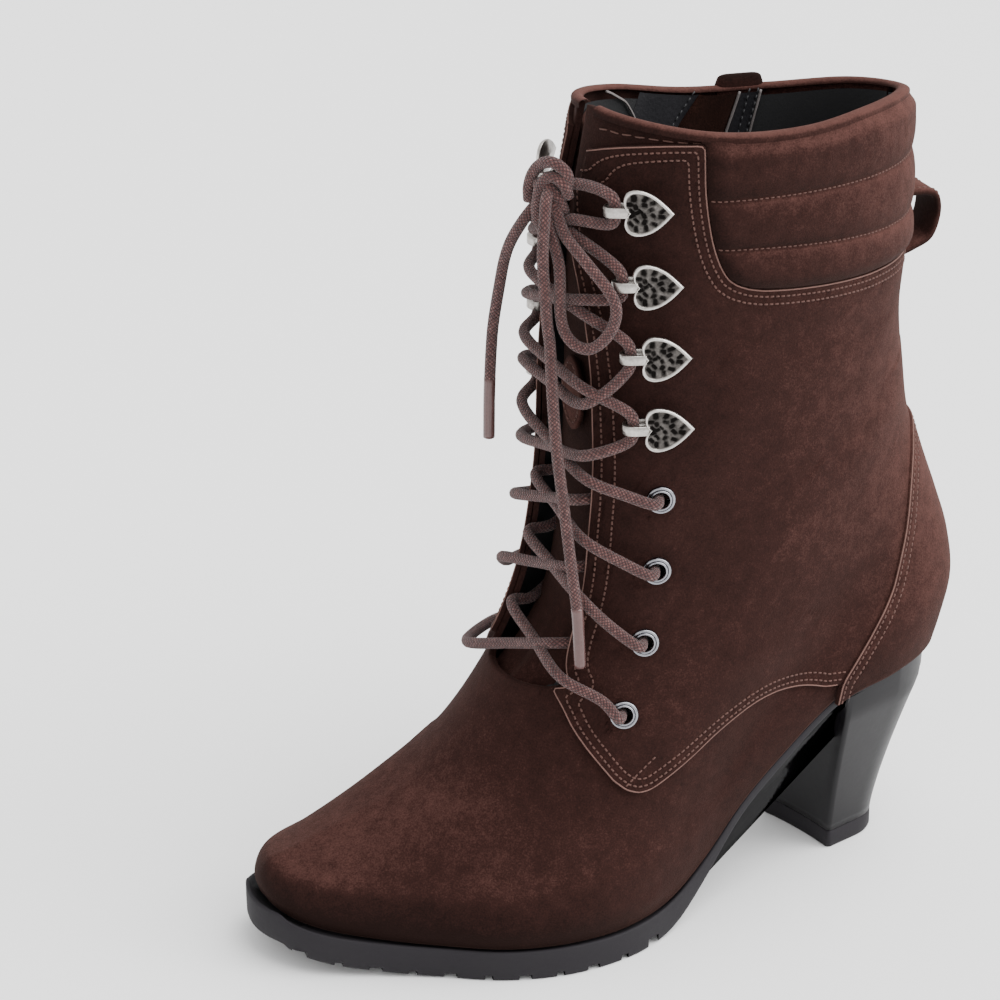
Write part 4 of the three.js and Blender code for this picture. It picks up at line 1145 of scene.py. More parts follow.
def makeSeams():
    stitchRows, edges = [], []
    for side in (1, -1):
        turns = np.linspace(0.12, math.pi - 0.01, 170) * side
        ups = np.linspace(0.05, 0.998, 210)
        field = panelField(side)

        def keep(points):
            past = polygonDistance(points[:, [0, 2]], counterShape) < -1
            return past & (points[:, 2] < formPoint(np.zeros(1), np.ones(1))[0, 2] + 4)

        for level in (2.0, 4.3):
            stitchRows += seamLines(turns, ups, field, level, faceOffset - 0.1, keep)
        edges += seamLines(turns, ups, field, 0.3, faceOffset - 0.25, keep)
    turns = np.linspace(1.55, 2 * math.pi - 1.55, 170)
    ups = np.linspace(0.002, 0.62, 130)
    for level in (1.4, 3.8):
        stitchRows += seamLines(turns, ups, counterField, level, 2.55, lambda p: p[:, 2] > 0)
    edges += seamLines(turns, ups, counterField, 0.3, 2.45, lambda p: p[:, 2] > 0)
    tick = placeOnSide([91.5, 88.5, 85.5, 83], [56, 58.6, 61, 63], 1)
    stitchRows.append(onSurface(np.stack(tick, 1), faceOffset - 0.05))
    stitchMesh("seam_stitches", stitchRows, 1.75, 1.25, 0.3, thread)
    paths = [resample(points, 1.2) for points, _ in edges]
    verts, faces, _ = tubes(paths, 0.26, 5)
    makePiece("raw_edges", verts, faces, edgeLeather, "suede")


makeSeams()
print("panels and seams")


# The cuff: three pads between stitch rows, round the back, under the panels' edges
cuffSeams = [(206.0, 197.0), (220.0, 211.0), (234.7, 229.7)]


def makeCuff():
    middleRise = 0.92
    ascending = {key: quarterOutline[key][15:11:-1] for key in ("rise", "along")}
    outerX = float(alongX(smooth(ascending, "rise", "along", middleRise)))
    innerX = outerX - 0.262 * footLength
    outerEdge = float(placeOnSide(outerX + 7, riseZ(middleRise), 1)[0])
    innerEdge = float(placeOnSide(innerX + 5, riseZ(middleRise), -1)[0]) + 2 * math.pi
    cols, perPad = 200, 15
    turns = np.linspace(outerEdge, innerEdge, cols)
    topPoint = formPoint(turns, 1.0)
    rearward = smoothstep(-topPoint[:, 0], -outerX, -seatBack)
    seams = [front + (back - front) * rearward for front, back in cuffSeams]
    seams = [seams[0] - 3, *seams, topPoint[:, 2]]
    shapes = [sideOutline(quarterOutline, False), sideOutline(quarterOutline, True)]
    verts, grooves = [], []
    for pad, (low, high) in enumerate(zip(seams, seams[1:])):
        for k in range(perPad + (pad == 3)):
            t = k / perPad
            swell = 0.3 + 0.7 * (1 - (2 * t - 1) ** 2) ** 0.6
            if pad == 0:
                swell = 0.1 + 0.2 * t
            if pad == 3 and t > 0.4:
                swell = 1.0 - smoothstep(t, 0.72, 1)
            z = low + (high - low) * t
            up = upAtHeight(turns, z) if t < 1 or pad < 3 else np.ones(cols)
            points = formPoint(turns, up)
            outside = np.full(cols, 9.0)
            for side, shape in zip((1, -1), shapes):
                away = -polygonDistance(points[:, [0, 2]], shape)
                outside = np.where(np.sign(points[:, 1] - lastShift) == side, away, outside)
            edge = np.sqrt(np.clip(1 - (1 - np.clip(outside / 5, 0, 1)) ** 2, 0, 1))
            wrinkle = 0.05 * np.sin(turns * 47 + pad * 2) * np.sin(turns * 13 + t * 3) * swell
            offset = 0.5 + (1.1 + 2.2 * swell + wrinkle) * edge
            row = points + formNormal(turns, up) * offset[:, None]
            verts.append(row)
            if k == 0 and pad in (2, 3):
                shown = outside > 0.8
                grooves.append((row[shown], formNormal(turns, up)[shown]))
    faces = gridFaces(len(verts), cols)
    piece = makePiece("cuff_padded", np.vstack(verts), faces, suede, "suede")
    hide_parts("cuff")
    stitchMesh("cuff_stitches", grooves, 1.75, 1.2, 0.28, thread)


makeCuff()


# Lining inside the shaft and foot, and the rolled rim that joins it to the outside
def makeLining():
    params, faces = paramGrid(turnsRound[::2], upsAll[::2])
    params, faces = sliceAt(params, faces, baseField(formPoint(*params.T)), 0, True)
    verts = offsetPoint(*params.T, np.full(len(params), -wall + 0.02))
    makePiece("lining_cloth", verts, faces[:, ::-1], liningCloth, "lining")


makeLining()


def makeRim():
    gap = 0.05
    turns = np.linspace(gap, 2 * math.pi - gap, 260)
    wrapped = np.arctan2(np.sin(turns), np.cos(turns))
    points = formPoint(turns, 1)
    inCuff = np.where(wrapped > 0, points[:, 0] < 62, points[:, 0] < 8)
    outer = np.where(inCuff, 2.0, faceOffset - 0.1)
    outer = np.convolve(np.pad(outer, 4, mode="edge"), np.ones(9) / 9, "valid")
    normals = formNormal(turns, 1)
    normals[:, 2] = 0
    normals /= np.linalg.norm(normals, axis=1, keepdims=True)
    rowsUp = []
    for k in range(11):
        angle = -0.25 + (math.pi + 0.25) * k / 10
        middle, half = (outer - wall) / 2, (outer + wall) / 2
        side = middle + half * math.cos(angle)
        lifted = points + normals * side[:, None]
        lifted[:, 2] += 1.2 * math.sin(angle) if angle > 0 else 5 * angle
        rowsUp.append(lifted)
    keep = np.abs(points[:, 1] - lastShift) > throatHalf(0.99) * 0.9
    keep |= points[:, 0] < alongX(0.3)
    rowsUp = [r[keep] for r in rowsUp]
    makePiece("collar_rim", np.vstack(rowsUp), gridFaces(11, int(keep.sum())), suede, "suede")


makeRim()


# Tongue, flat behind the facings and curled round to the sides
def makeTongue():
    heights = np.linspace(0.03, 1.04, 60)
    halfWidth, across = 0.3 * ballWidth, 33
    share = np.linspace(-1, 1, across)
    rise, side = np.meshgrid(heights, share, indexing="ij")
    z = riseZ(rise)
    flat = formPoint(*placeInFront(riseZ(heights), throatHalf(heights)))[:, 0] - 4
    y = side * halfWidth * (0.82 + 0.18 * np.minimum(1, rise / 0.3))
    turn, up = placeInFront(z, y)
    normal = formNormal(turn, up)
    front = formPoint(turn, up) - normal * (wall + 2 * fit)
    seated = smoothstep(rise, 0.03, 0.2)
    sunk = np.minimum(front[..., 0], flat[:, None] - 0.012 * y * y)
    front[..., 0] += (sunk - front[..., 0]) * seated
    blend = (1 - side ** 2)[..., None]
    inward = normal * (1 - blend) + np.array([1.0, 0, 0]) * blend
    inward /= np.linalg.norm(inward, axis=-1, keepdims=True)
    edge = np.sqrt(np.clip(1 - np.abs(side) ** 16, 0, 1))[..., None]
    back = front - inward * 2.4
    middle = (front + back) / 2
    front = middle + (front - middle) * edge
    back = middle + (back - middle) * edge
    cols = across
    frontFaces = gridFaces(60, cols)
    backFaces = [tuple(reversed(f)) for f in gridFaces(60, cols, start=60 * cols)]
    rim = [(59 * cols + j, 59 * cols + j + 1, 119 * cols + j + 1, 119 * cols + j) for j in range(cols - 1)]
    verts = np.vstack([front.reshape(-1, 3), back.reshape(-1, 3)])
    piece = makePiece("tongue_suede", verts, frontFaces + backFaces + rim, suede, "suede")
    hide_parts("tongue")


makeTongue()
print("collar and tongue")


# Sole: lip, groove and wall round the outline, with the lugs cut from below
def ledgeAt(along):
    return 1.8 * smoothstep(along, 0.3, 0.56) + 2.2 * smoothstep(along, 0.8, 1)


def soleDepth(along):
    return 3 + smoothstep(along, 0.2, 0.34) + (soleHeight - fit - 4) * smoothstep(along, 0.34, 0.5)


def soleUnder(along):
    return np.maximum(0, soleTop(along) - fit - soleDepth(along))


def planOutline(extraAt, count):
    turns = np.arange(count) * 2 * math.pi / count
    points = formPoint(turns, 0)[:, :2]
    across = np.roll(points, -1, axis=0) - np.roll(points, 1, axis=0)
    outward = np.stack([across[:, 1], -across[:, 0]], 1)
    outward /= np.linalg.norm(outward, axis=1, keepdims=True)
    along = (points[:, 0] - seatBack) / footLength
    return points, outward, extraAt(along)


def makeSole():
    points, outward, extra = planOutline(ledgeAt, 220)
    profile = [
        (-5.0, 0.9), (-2.0, 0.9), (-1.5, 0.95), (-1.0, 1.0), (-0.55, 1.0), (-0.2, 0.98),
        (0.0, 0.93), (0.0, 0.62), (-0.04, 0.3), (-0.12, 0.1), (-0.35, 0.03), (-0.8, 0.0),
    ]
    rings = []
    for inset, share in profile:
        flat = points + outward * (extra + inset)[:, None]
        along = (flat[:, 0] - seatBack) / footLength
        top, under = soleTop(along) - fit, soleUnder(along)
        rings.append(np.column_stack([flat, under + (top - under) * share]))
    count = len(points)
    faces = gridFaces(len(rings), count, ring=True)
    faces.append(tuple(range(count)))
    faces.append(tuple(reversed(range((len(rings) - 1) * count, len(rings) * count))))
    verts = np.vstack(rings)
    mesh = bpy.data.meshes.new("sole_form")
    mesh.from_pydata((verts * MM).tolist(), [], faces)
    form = bpy.data.objects.new("sole_form", mesh)
    bars = bmesh.new()
    for k in range(11):
        x = float(alongX(0.488)) + k * 10.7
        width = 2.4 if k % 2 else 3.8
        under = float(soleUnder((x - seatBack) / footLength))
        place = Matrix.Translation(Vector((x, 0, under)) * MM) @ Matrix.Rotation(-0.2, 4, "Z")
        size = Matrix.Diagonal((width * MM, 160 * MM, 3.6 * MM, 1))
        bmesh.ops.create_cube(bars, size=1, matrix=place @ size)
    cutMesh = bpy.data.meshes.new("lug_bars")
    bars.to_mesh(cutMesh)
    bars.free()
    cutter = bpy.data.objects.new("lug_bars", cutMesh)
    for made in (form, cutter):
        bpy.context.scene.collection.objects.link(made)
    cut = form.modifiers.new("lugs", "BOOLEAN")
    cut.operation, cut.object, cut.solver = "DIFFERENCE", cutter, "EXACT"
    solved = bpy.data.meshes.new_from_object(form.evaluated_get(bpy.context.evaluated_depsgraph_get()))
    bpy.data.objects.remove(form)
    bpy.data.objects.remove(cutter)
    coords = np.array([v.co[:] for v in solved.vertices]) / MM
    shapes = [tuple(p.vertices) for p in solved.polygons]
    piece = makePiece("outsole_rubber", coords, shapes, rubber, "rubber", flat=True)
    for polygon in piece.data.polygons:
        polygon.use_smooth = abs(polygon.normal.z) < 0.95 and polygon.center.z > 0.0022
    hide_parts("outsole")


makeSole()


# Heel: a loft from the tip to the seat, kept inside the seat's outline
def heelRing(share, bend):
    power = share ** 1.3
    tip = {"centre": 0, "breast": 11.5, "back": 13.5, "half": 15.6, "sideways": -1.6}
    top = {"centre": -6, "breast": 23.5, "back": 23, "half": 28, "sideways": 0}
    value = {key: tip[key] + (top[key] - tip[key]) * power for key in tip}
    angle = math.pi / 2 + np.linspace(0, math.pi, 64)
    arc = np.sign(np.cos(angle)) * np.abs(np.cos(angle)) ** 0.86
    side = np.sign(np.sin(angle)) * np.abs(np.sin(angle)) ** 0.86
    xs = value["back"][:, None] * arc
    ys = value["half"][:, None] * side
    corner = 1.4
    turn = np.linspace(0, math.pi / 2, 6)
    cornerX = value["breast"][:, None] - corner + corner * np.sin(turn)
    cornerY = -value["half"][:, None] + corner - corner * np.cos(turn)
    face = np.linspace(-1, 1, 12)[1:-1]
    faceX = value["breast"][:, None] - bend * (1 - face ** 2)
    faceY = (value["half"] - corner)[:, None] * face
    xs = np.hstack([xs, cornerX, faceX, cornerX[:, ::-1]]) + value["centre"][:, None]
    ys = np.hstack([ys, cornerY, faceY, -cornerY[:, ::-1]]) + value["sideways"][:, None]
    c, s = math.cos(math.radians(12)), math.sin(math.radians(12))
    return xs * c - ys * s, xs * s + ys * c + lastShift * share[:, None]


def makeHeel():
    seat, outward, _ = planOutline(lambda along: 0 * along, 220)
    seat = seat - outward * 0.3
    centre = np.array([-6.0, 2.0])
    shares = np.linspace(0, 1, 26)
    bottom = 6 + fit
    x, y = heelRing(shares, 0.8)
    offset = np.stack([x - centre[0], y - centre[1]], -1)
    reach = np.full(x.shape, 1e9)
    a, b = seat, np.roll(seat, -1, axis=0)
    for p, q in zip(a, b):
        edge = q - p
        cross = offset[..., 0] * edge[1] - offset[..., 1] * edge[0]
        with np.errstate(divide="ignore", invalid="ignore"):
            t = ((p - centre)[0] * edge[1] - (p - centre)[1] * edge[0]) / cross
            s = ((p - centre)[0] * offset[..., 1] - (p - centre)[1] * offset[..., 0]) / cross
        hit = (s >= 0) & (s <= 1) & (t > 0)
        reach = np.where(hit, np.minimum(reach, t), reach)
    scale = np.minimum(1, reach)
    x, y = centre[0] + offset[..., 0] * scale, centre[1] + offset[..., 1] * scale
    top = soleUnder((x - seatBack) / footLength) - 0.1
    z = np.minimum(bottom + shares[:, None] * (seatHeight - bottom), top)
    verts = np.stack([x, y, z], -1).reshape(-1, 3)
    count = x.shape[1]
    faces = gridFaces(len(shares), count, ring=True)
    faces.append(tuple(reversed(range(count))))
    piece = makePiece("heel_covered", verts, faces, lacquer, "heel_cover")
    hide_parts("heel")
    x, y = heelRing(np.zeros(6), 0.8)
    lift = np.array([0, 0.5, 0.9, 5.2, 5.7, 6.0])
    shrink = np.array([0.965, 0.985, 1.0, 1.0, 0.99, 0.975])
    verts = np.stack([x * shrink[:, None], y * shrink[:, None], np.repeat(lift[:, None], count, 1)], -1)
    faces = gridFaces(6, count, ring=True)
    faces += [tuple(reversed(range(count))), tuple(range(5 * count, 6 * count))]
    piece = makePiece("top_lift_rubber", verts.reshape(-1, 3), faces, rubber, "rubber")
    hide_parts("top_lift")


makeHeel()
print("sole and heel")


# Eyelets: rolled rings with their barrels through the facing
def lathe(profile, sides):
    profile = np.asarray(profile, float)
    angles = np.arange(sides) * 2 * math.pi / sides
    verts = np.array([[r * math.cos(a), r * math.sin(a), h] for r, h in profile for a in angles])
    return verts, gridFaces(len(profile), sides, ring=True)


def makeEyelets():
    outer = [(3.75 + 0.5 * math.cos(t), 0.25 + 0.6 * math.sin(t)) for t in np.linspace(-0.4, 2.6, 9)]
    inner = [(2.85 + 0.42 * math.cos(t), 0.4 + 0.6 * math.sin(t)) for t in np.linspace(0.4, 3.0, 8)]
    profile = [(4.3, -0.3), *outer, (3.28, 0.3), *inner, (2.4, 0.0), (2.35, -1.2), (2.35, -4.2)]
    local, faces = lathe([(r, h + metalSeat) for r, h in profile], 40)
    for side, label in (("outer", "lateral"), ("inner", "medial")):
        for row in range(4):
            place = fastenedFrame(*rows[side][row], 0)
            name = f"eyelet_{label}_{row + 1}"
            piece = makePiece(f"{name}_ring", inFrame(place, local), faces, gunmetal, "gunmetal")
            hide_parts(name)


makeEyelets()


# Speed hooks: a strap bent over the lace, ending in a hammered heart
def heartOutline(count):
    s = 13.4 / 13
    knots = [
        [(-8, 0), (-6.0, 2.2), (-2.6, 6.4), (2.2, 6.5)], [(2.2, 6.5), (5.8, 6.5), (6.8, 2.4), (4.2, 0)],
        [(4.2, 0), (6.8, -2.4), (5.8, -6.5), (2.2, -6.5)], [(2.2, -6.5), (-2.6, -6.4), (-6.0, -2.2), (-8, 0)],
    ]
    line = []
    for four in knots:
        p = np.array(four) * s
        t = np.linspace(0, 1, count // 4, endpoint=False)[:, None]
        line.append((1 - t) ** 3 * p[0] + 3 * (1 - t) ** 2 * t * p[1] + 3 * (1 - t) * t * t * p[2] + t ** 3 * p[3])
    return np.vstack(line)


def heartMesh(bottom):
    outline = heartOutline(120)
    count = len(outline)
    centre = np.array([0.6, 0.0])
    rings = [
        (1.0, bottom), (1.02, bottom + 0.35), (1.0, bottom + 0.85), (0.96, bottom + 1.15),
        (0.92, bottom + 1.2), (0.88, bottom + 1.0), (0.85, bottom + 0.8),
    ]
    verts = [np.column_stack([centre + (outline - centre) * k, np.full(count, z)]) for k, z in rings]
    patina = [np.full(count, v) for v in (0.2, 0.1, 0, 0, 0, 0.15, 0.45)]
    dents = []
    for share, around, long, wide in ((0.69, 12, 1.1, 0.72), (0.4, 7, 1.0, 0.62), (0.13, 2, 0.9, 0.5)):
        for j in range(around):
            at = outline[int((j + rng.uniform(0.3, 0.7)) * count / around) % count]
            lean = math.atan2(at[1], at[0]) + rng.choice([0, 0, 0.6, -0.6, math.pi / 2])
            dents.append((centre + (at - centre) * share, lean, long, wide * rng.uniform(0.8, 1.2)))
    for k in np.linspace(0.83, 0.03, 24):
        flat = centre + (outline - centre) * k
        deep = np.zeros(count)
        for spot, lean, long, wide in dents:
            away = flat - spot
            u = away[:, 0] * math.cos(lean) + away[:, 1] * math.sin(lean)
            v = away[:, 1] * math.cos(lean) - away[:, 0] * math.sin(lean)
            deep = np.maximum(deep, np.exp(-((u / long) ** 4 + (v / wide) ** 4)))
        verts.append(np.column_stack([flat, bottom + 0.82 - 0.5 * deep]))
        patina.append(0.58 + 0.36 * deep)
    faces = gridFaces(len(verts), count, ring=True)
    last = (len(verts) - 1) * count
    faces.append(tuple(range(last, last + count)))
    faces.append(tuple(reversed(range(count))))
    return np.vstack(verts), faces, np.concatenate(patina)


def strapMesh(line, width, thick):
    line = centripetal(line, 0.5)
    tangent = np.gradient(line, axis=0)
    tangent /= np.linalg.norm(tangent, axis=1, keepdims=True)
    normal = np.stack([-tangent[:, 1], tangent[:, 0]], 1)
    section = [(-0.5, -0.3), (-0.42, -0.5), (0.42, -0.5), (0.5, -0.3), (0.5, 0.3), (0.42, 0.5), (-0.42, 0.5), (-0.5, 0.3)]
    verts = []
    for point, n in zip(line, normal):
        for across, out in section:
            spot = point + n * out * thick
            verts.append((spot[0], across * width, spot[1]))
    faces = gridFaces(len(line), 8, ring=True)
    faces += [tuple(reversed(range(8))), tuple(range((len(line) - 1) * 8, len(line) * 8))]
    return np.array(verts), faces


def makeHooks():
    top = hookMetal * 2 + 4.0
    half = hookMetal / 2
    bendX = hookBend + 3 - half
    strap = [
        (-3.5, half), (2, half), (bendX - 2.4, half), (bendX - 0.8, half + 0.5), (bendX, top / 2 - 0.8),
        (bendX, top / 2 + 0.8), (bendX - 0.8, top - half - 0.5), (bendX - 2.4, top - half), (6.2, top - half), (4.6, top - half - 0.15),
    ]
    strapVerts, strapFaces = strapMesh(strap, 3.0, hookMetal)
    heartVerts, heartFaces, heartPatina = heartMesh(top - hookMetal)
    local = np.vstack([strapVerts, heartVerts])
    faces = strapFaces + [tuple(v + len(strapVerts) for v in face) for face in heartFaces]
    patina = np.concatenate([np.full(len(strapVerts), 0.12), heartPatina])
    for side, label in (("outer", "lateral"), ("inner", "medial")):
        for row in range(4, 8):
            place = fastenedFrame(*rows[side][row], metalSeat)
            name = f"hook_{label}_{row - 3}"
            piece = makePiece(f"{name}_metal", inFrame(place, local), faces, silver, "antique_silver")
            layer = piece.data.attributes.new("patina", "FLOAT", "POINT")
            layer.data.foreach_set("value", patina)
            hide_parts(name)


makeHooks()
print("metal")

# Insole: a crowned pad on the floor of the shoe
def makeInsole():
    points, outward, _ = planOutline(lambda along: 0 * along, 160)
    outline = points - outward * (wall + 1.3)
    middle = np.array([float(alongX(0.5)), lastShift - 1])
    rings = []
    for scale, lift in ((0.99, 0.2), (1.0, 1.2), (0.985, 2.1), (0.96, 2.4), (0.8, 2.5), (0.5, 2.6), (0.2, 2.6)):
        flat = middle + (outline - middle) * scale
        rings.append(np.column_stack([flat, soleTop((flat[:, 0] - seatBack) / footLength) + lift]))
    faces = gridFaces(len(rings), 160, ring=True)
    faces += [tuple(reversed(range(160))), tuple(range(6 * 160, 7 * 160))]
    piece = makePiece("insole_cover", np.vstack(rings), faces, liningCloth, "lining")
    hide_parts("insole")


makeInsole()


# The folded loop at the back
def makePullLoop():
    low, high = float(riseZ(0.715)), float(riseZ(0.84))

    def backAt(z, off):
        return float(formPoint(math.pi, upAtHeight(math.pi, z))[0]) - off

    top, foot = backAt(high, cuffSwell + 2), backAt(low, faceOffset + fit)
    out = foot - 13.6
    line = [
        (foot + 0.6, low + 2), (foot - 4, low + 3.2), (out + 4, low + 5.6), (out + 1.3, high - 8.5),
        (out + 2.4, high - 3.2), (out + 6, high - 1.6), (top + 1.5, high - 1.1),
    ]
    verts, faces = strapMesh(line, 12, 2.1)
    piece = makePiece("pull_loop_strap", verts + [0, lastShift, 0], faces, suede, "suede")
    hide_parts("pull_loop")
    path = centripetal(line, 0.5)
    tangent = np.gradient(path, axis=0)
    tangent /= np.linalg.norm(tangent, axis=1, keepdims=True)
    outside = path + np.stack([-tangent[:, 1], tangent[:, 0]], 1) * 1.02
    lines = []
    for across in (-4.6, 4.6):
        spots = np.column_stack([outside[:, 0], np.full(len(path), lastShift + across), outside[:, 1]])
        ups = np.column_stack([-tangent[:, 1], np.zeros(len(path)), tangent[:, 0]])
        lines.append((spots, ups))
    stitchMesh("pull_loop_stitches", lines, 1.75, 1.2, 0.28, thread)


makePullLoop()


# The leaf-shaped tab on the tongue
def makeKeeper():
    low, high = float(riseZ(0.515)), float(riseZ(0.665))
    middle = (low + high) / 2
    x = float(formPoint(*placeInFront(middle, 0.19 * ballWidth))[0]) - 3.5
    leaf = np.array([(0, high), (5, high - 5), (6.4, middle), (5, low + 5), (0, low), (-5, low + 5), (-6.4, middle),
                     (-5, high - 5)])
    leaf = rounded(leaf, 3)
    count, centre = len(leaf), np.array([0, middle])
    rings = []
    for scale, depth in ((0.985, 0.0), (1.0, 0.5), (0.99, 1.1), (0.95, 1.4), (0.86, 1.35), (0.6, 1.45), (0.2, 1.5)):
        flat = centre + (leaf - centre) * scale
        rings.append(np.column_stack([np.full(count, x + depth), flat[:, 0] + lastShift, flat[:, 1]]))
    faces = gridFaces(len(rings), count, ring=True)
    faces += [tuple(reversed(range(count))), tuple(range(6 * count, 7 * count))]
    piece = makePiece("tongue_keeper_leaf", np.vstack(rings), faces, suede, "suede")
    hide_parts("tongue_keeper")
    ring = centre + (np.vstack([leaf, leaf[:1]]) - centre) * 0.8
    spots = np.column_stack([np.full(len(ring), x + 1.45), ring[:, 0] + lastShift, ring[:, 1]])
    stitchMesh("keeper_stitches", [(spots, np.tile([1.0, 0, 0], (len(ring), 1)))], 1.75, 1.2, 0.26, thread)


makeKeeper()


# Zip on the inner side: woven tape, coil teeth, slider and hanging tab
def makeZip():
    rises = np.linspace(0.06, 0.995, 240)
    centreX = alongX(smooth(zipLine, "rise", "along", rises))
    across = np.array([-4.7, -4.2, -2.6, -2.2, -1.0, 0, 1.0, 2.2, 2.6, 4.2, 4.7])
    lift = np.array([0.3, 0.85, 0.9, 1.15, 1.0, 0.8, 1.0, 1.15, 0.9, 0.85, 0.3])
    x = centreX[:, None] + across
    turn, up = placeOnSide(x, riseZ(rises)[:, None], -1)
    verts = offsetPoint(turn, up, np.broadcast_to(fit + lift, turn.shape))
    piece = makePiece("zip_tape", verts.reshape(-1, 3), gridFaces(len(rises), len(across)), tapeCloth, "zip_tape")
    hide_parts("zip")
    edges = []
    for column in (2, 8):
        edges.append((verts[:, column] + formNormal(turn[:, column], up[:, column]) * 0.05,
                      formNormal(turn[:, column], up[:, column])))
    stitchMesh("zip_tape_stitches", edges, 1.5, 1.1, 0.22, blackThread, "zip_tape")
    spots = resample(np.hstack([verts[:, 5], formNormal(turn[:, 5], up[:, 5])]), 0.8)
    spots, ups = spots[:, :3], spots[:, 3:]
    run = np.gradient(spots, axis=0)
    run /= np.linalg.norm(run, axis=1, keepdims=True)
    sideways = np.cross(ups, run)
    sign = np.where(np.arange(len(spots)) % 2, 1, -1)[:, None]
    teeth = []
    for spot, up_, aside in zip(spots + sideways * sign * 0.75 + ups * 0.35, ups, sideways):
        teeth.append((spot, up_, aside))
    mesh = capsules(teeth, 2.2, 0.5)
    makePiece("zip_teeth", *mesh, gunmetal, "gunmetal")


# Rounded copy of a metal node
def roundedCopy(node, name, width, material, slot, body):
    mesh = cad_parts[node].data.copy()
    mesh.transform(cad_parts[node].matrix_world)
    work = bmesh.new()
    work.from_mesh(mesh)
    bmesh.ops.remove_doubles(work, verts=work.verts, dist=2e-6)
    bmesh.ops.dissolve_limit(work, angle_limit=0.03, verts=work.verts, edges=work.edges)
    sharp = [e for e in work.edges if len(e.link_faces) == 2 and e.calc_face_angle(0) > 0.6]
    bmesh.ops.bevel(work, geom=sharp, offset=width * MM, segments=2, affect="EDGES", profile=0.5, clamp_overlap=True)
    bmesh.ops.triangulate(work, faces=work.faces)
    work.to_mesh(mesh)
    work.free()
    verts = np.array([v.co[:] for v in mesh.vertices]) / MM
    piece = makePiece(name, verts, [tuple(f.vertices) for f in mesh.polygons], material, slot, body, flat=True)
    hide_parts(node)
    return piece


def makeSlider():
    roundedCopy("zip_slider", "zip_slider_body", 0.3, gunmetal, "gunmetal", "boot")
    roundedCopy("zip_pull_tab", "zip_pull_plate", 0.25, lacquer, "heel_cover", "zip_pull")
    place = placeOnSide(float(alongX(smooth(zipLine, "rise", "along", 0.93))), float(riseZ(0.93)), -1)
    frameAt = fastenedFrame(*place, fit + 2.6 + 4.4)
    low, wide, shoulder = -30 + 0.5, 3.3 - 0.5, -8
    for face in (0.75, -0.75):
        rim = [(-1.7, -2.6), (-1.7, -4.2), (-wide, shoulder), (-wide, low), (wide, low), (wide, shoulder), (1.7, -4.2),
               (1.7, -2.6)]
        line = resample(np.array([(u, v, face) for u, v in rim]), 0.6)
        verts, faces, _ = tubes([inFrame(frameAt, line)], 0.33, 8)
        makePiece("zip_pull_rim_" + ("front" if face > 0 else "back"), verts, faces, gunmetal, "gunmetal", "zip_pull")


makeZip()
makeSlider()
print("zip and small pieces")


# Inside the collar: leather bands, the zip's guard and the piping
def innerBand(name, left, right, material, depth=0.7, low=0.74, high=0.998):
    ups = np.linspace(low, high, 30)
    a = np.interp(ups, *zip(*left))[:, None]
    b = np.interp(ups, *zip(*right))[:, None]
    t = np.linspace(0, 1, 17)
    turns = a + (b - a) * t
    depths = wall + 0.1 + depth * (1 - np.abs(2 * t - 1) ** 10)
    verts = offsetPoint(turns, np.broadcast_to(ups[:, None], turns.shape), np.broadcast_to(-depths, turns.shape))
    makePiece(name, verts.reshape(-1, 3), gridFaces(30, 17), material, "lining")


def innerLine(line, offset):
    at = resample(np.array(line, float), 0.02)
    return offsetPoint(at[:, 0], at[:, 1], np.full(len(at), -wall - offset)), -formNormal(at[:, 0], at[:, 1])


def makeCollarInside():
    guardFront = [(0.74, -1.5), (0.964, -1.541), (1.0, -1.655)]
    guardBack = [(0.74, -1.72), (0.947, -1.842), (1.0, -1.896)]
    bandBack = [(0.74, -1.93), (0.95, -2.0), (1.0, -2.03)]
    tongueEdge = [(0.74, -1.15), (0.975, -1.2), (1.0, -1.24)]
    innerBand("front_band", tongueEdge, guardFront, blackLeather, 0.5)
    innerBand("zip_guard", guardFront, guardBack, innerSuede, 1.3)
    innerBand("rear_band", guardBack, bandBack, blackLeather, 0.9)
    pipes = [innerLine([(t, u) for u, t in guardBack], 1.2)[0], innerLine([(t, u) for u, t in bandBack], 0.8)[0]]
    pipes.append(innerLine([(-0.9, 0.999), (-0.946, 0.998), (-1.123, 0.989), (-1.226, 0.972), (-1.27, 0.94)], 0.7)[0])
    paths = [softened(resample(path, 0.8), 6) for path in pipes]
    verts, faces, _ = tubes(paths, 0.4, 6)
    makePiece("collar_piping", verts, faces, lightEdge, "lining")
    rowsInside = []
    for shift in (-0.02, -0.075):
        rowsInside.append(innerLine([(t + shift * -1, u) for u, t in bandBack], 1.1))
    rowsInside.append(innerLine([(t + 0.05, u) for u, t in guardFront], 0.7))
    stitchMesh("collar_inside_stitches", rowsInside, 2.2, 1.5, 0.25, blackThread, "lining")


makeCollarInside()


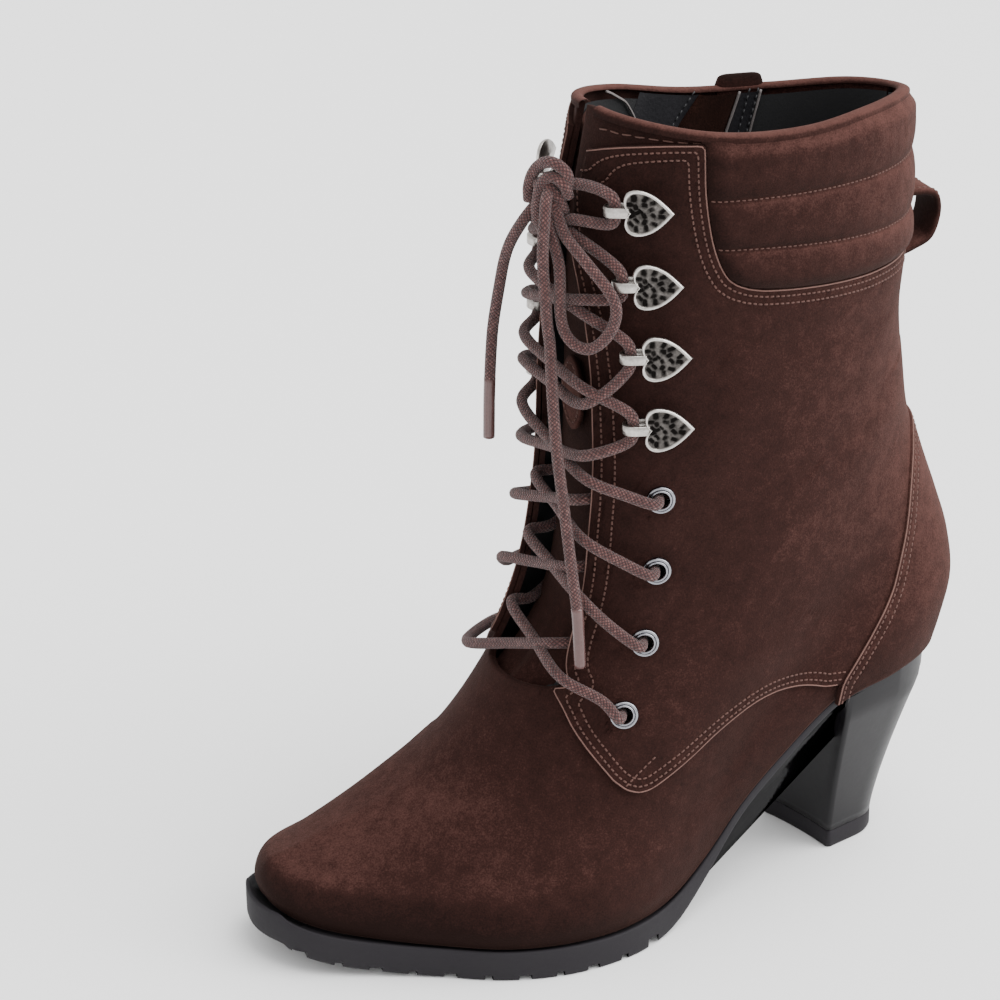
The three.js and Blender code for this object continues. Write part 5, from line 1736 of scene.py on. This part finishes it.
# Small suede tab folded over the rim at the zip's top
def makeTopTab():
    turns = np.linspace(-2.05, -1.77, 24)
    points = formPoint(turns, 1)
    normals = formNormal(turns, 1)
    normals[:, 2] = 0
    normals /= np.linalg.norm(normals, axis=1, keepdims=True)
    ends = np.sqrt(np.clip(1 - np.abs(np.linspace(-1, 1, 24)) ** 6, 0, 1))
    verts = []
    for side, lift in [(-1.4, -2), (-1.5, 0.5), (-1.3, 2.6), (-0.6, 3.9), (0.3, 4.4), (1.2, 4.2), (2.0, 3.4),
                       (2.7, 2.2), (3.1, 0.2), (3.2, -4)]:
        shift = 0.9 + (side - 0.9) * (0.55 + 0.45 * ends)
        row = points + normals * shift[:, None]
        row[:, 2] += lift * (0.4 + 0.6 * ends) if lift > 0 else lift
        verts.append(row)
    makePiece("rim_tab", np.vstack(verts), gridFaces(10, 24), suede, "suede")


makeTopTab()


# One row of long stitches under the rim in front of the outer panel
def makeCollarRow():
    turns = np.linspace(0.2, 0.98, 60)
    points = formPoint(turns, 1)
    line = np.stack([turns, upAtHeight(turns, points[:, 2] - np.linspace(4.4, 2.2, 60))], 1)
    spots, normals = onSurface(line, 0.1)
    outside = polygonDistance(spots[:, [0, 2]], sideOutline(quarterOutline)) < -0.4
    stitchMesh("collar_stitches", [(spots[outside], normals[outside])], 4.2, 3.0, 0.26, thread)


makeCollarRow()
print("collar inside")


# Floor and soft studio light
def makeStage():
    mesh = bpy.data.meshes.new("floor")
    size = 3.0
    mesh.from_pydata([(-size, -size, 0), (size, -size, 0), (size, size, 0), (-size, size, 0)], [], [(0, 1, 2, 3)])
    s = Shader("floor", 0.9)
    s.put("Base Color", (0.93, 0.93, 0.93, 1))
    mesh.materials.append(s.material)
    floor = bpy.data.objects.new("floor", mesh)
    bpy.context.scene.collection.objects.link(floor)
    world = bpy.data.worlds.new("studio")
    world.use_nodes = True
    world.node_tree.nodes["Background"].inputs[0].default_value = (1, 1, 1, 1)
    world.node_tree.nodes["Background"].inputs[1].default_value = 1.25
    bpy.context.scene.world = world
    sun = bpy.data.lights.new("overhead", "SUN")
    sun.energy = 4.2
    sun.angle = 1.2
    lamp = bpy.data.objects.new("overhead", sun)
    lamp.rotation_euler = Vector((-0.45, 0.28, 0.85)).to_track_quat("Z", "Y").to_euler()
    bpy.context.scene.collection.objects.link(lamp)
    lights = [
        ("rear", (-1.3, 0.9, 0.9), 16, 1.0),
        ("front", (1.3, 1.0, 0.9), 3, 1.2),
    ]
    for name, place, energy, width in lights:
        data = bpy.data.lights.new(name, "AREA")
        data.energy = energy
        data.size = width
        lamp = bpy.data.objects.new(name, data)
        lamp.location = place
        aim = Vector((0.06, 0, 0.12)) - Vector(place)
        lamp.rotation_euler = aim.to_track_quat("-Z", "Y").to_euler()
        bpy.context.scene.collection.objects.link(lamp)


makeStage()
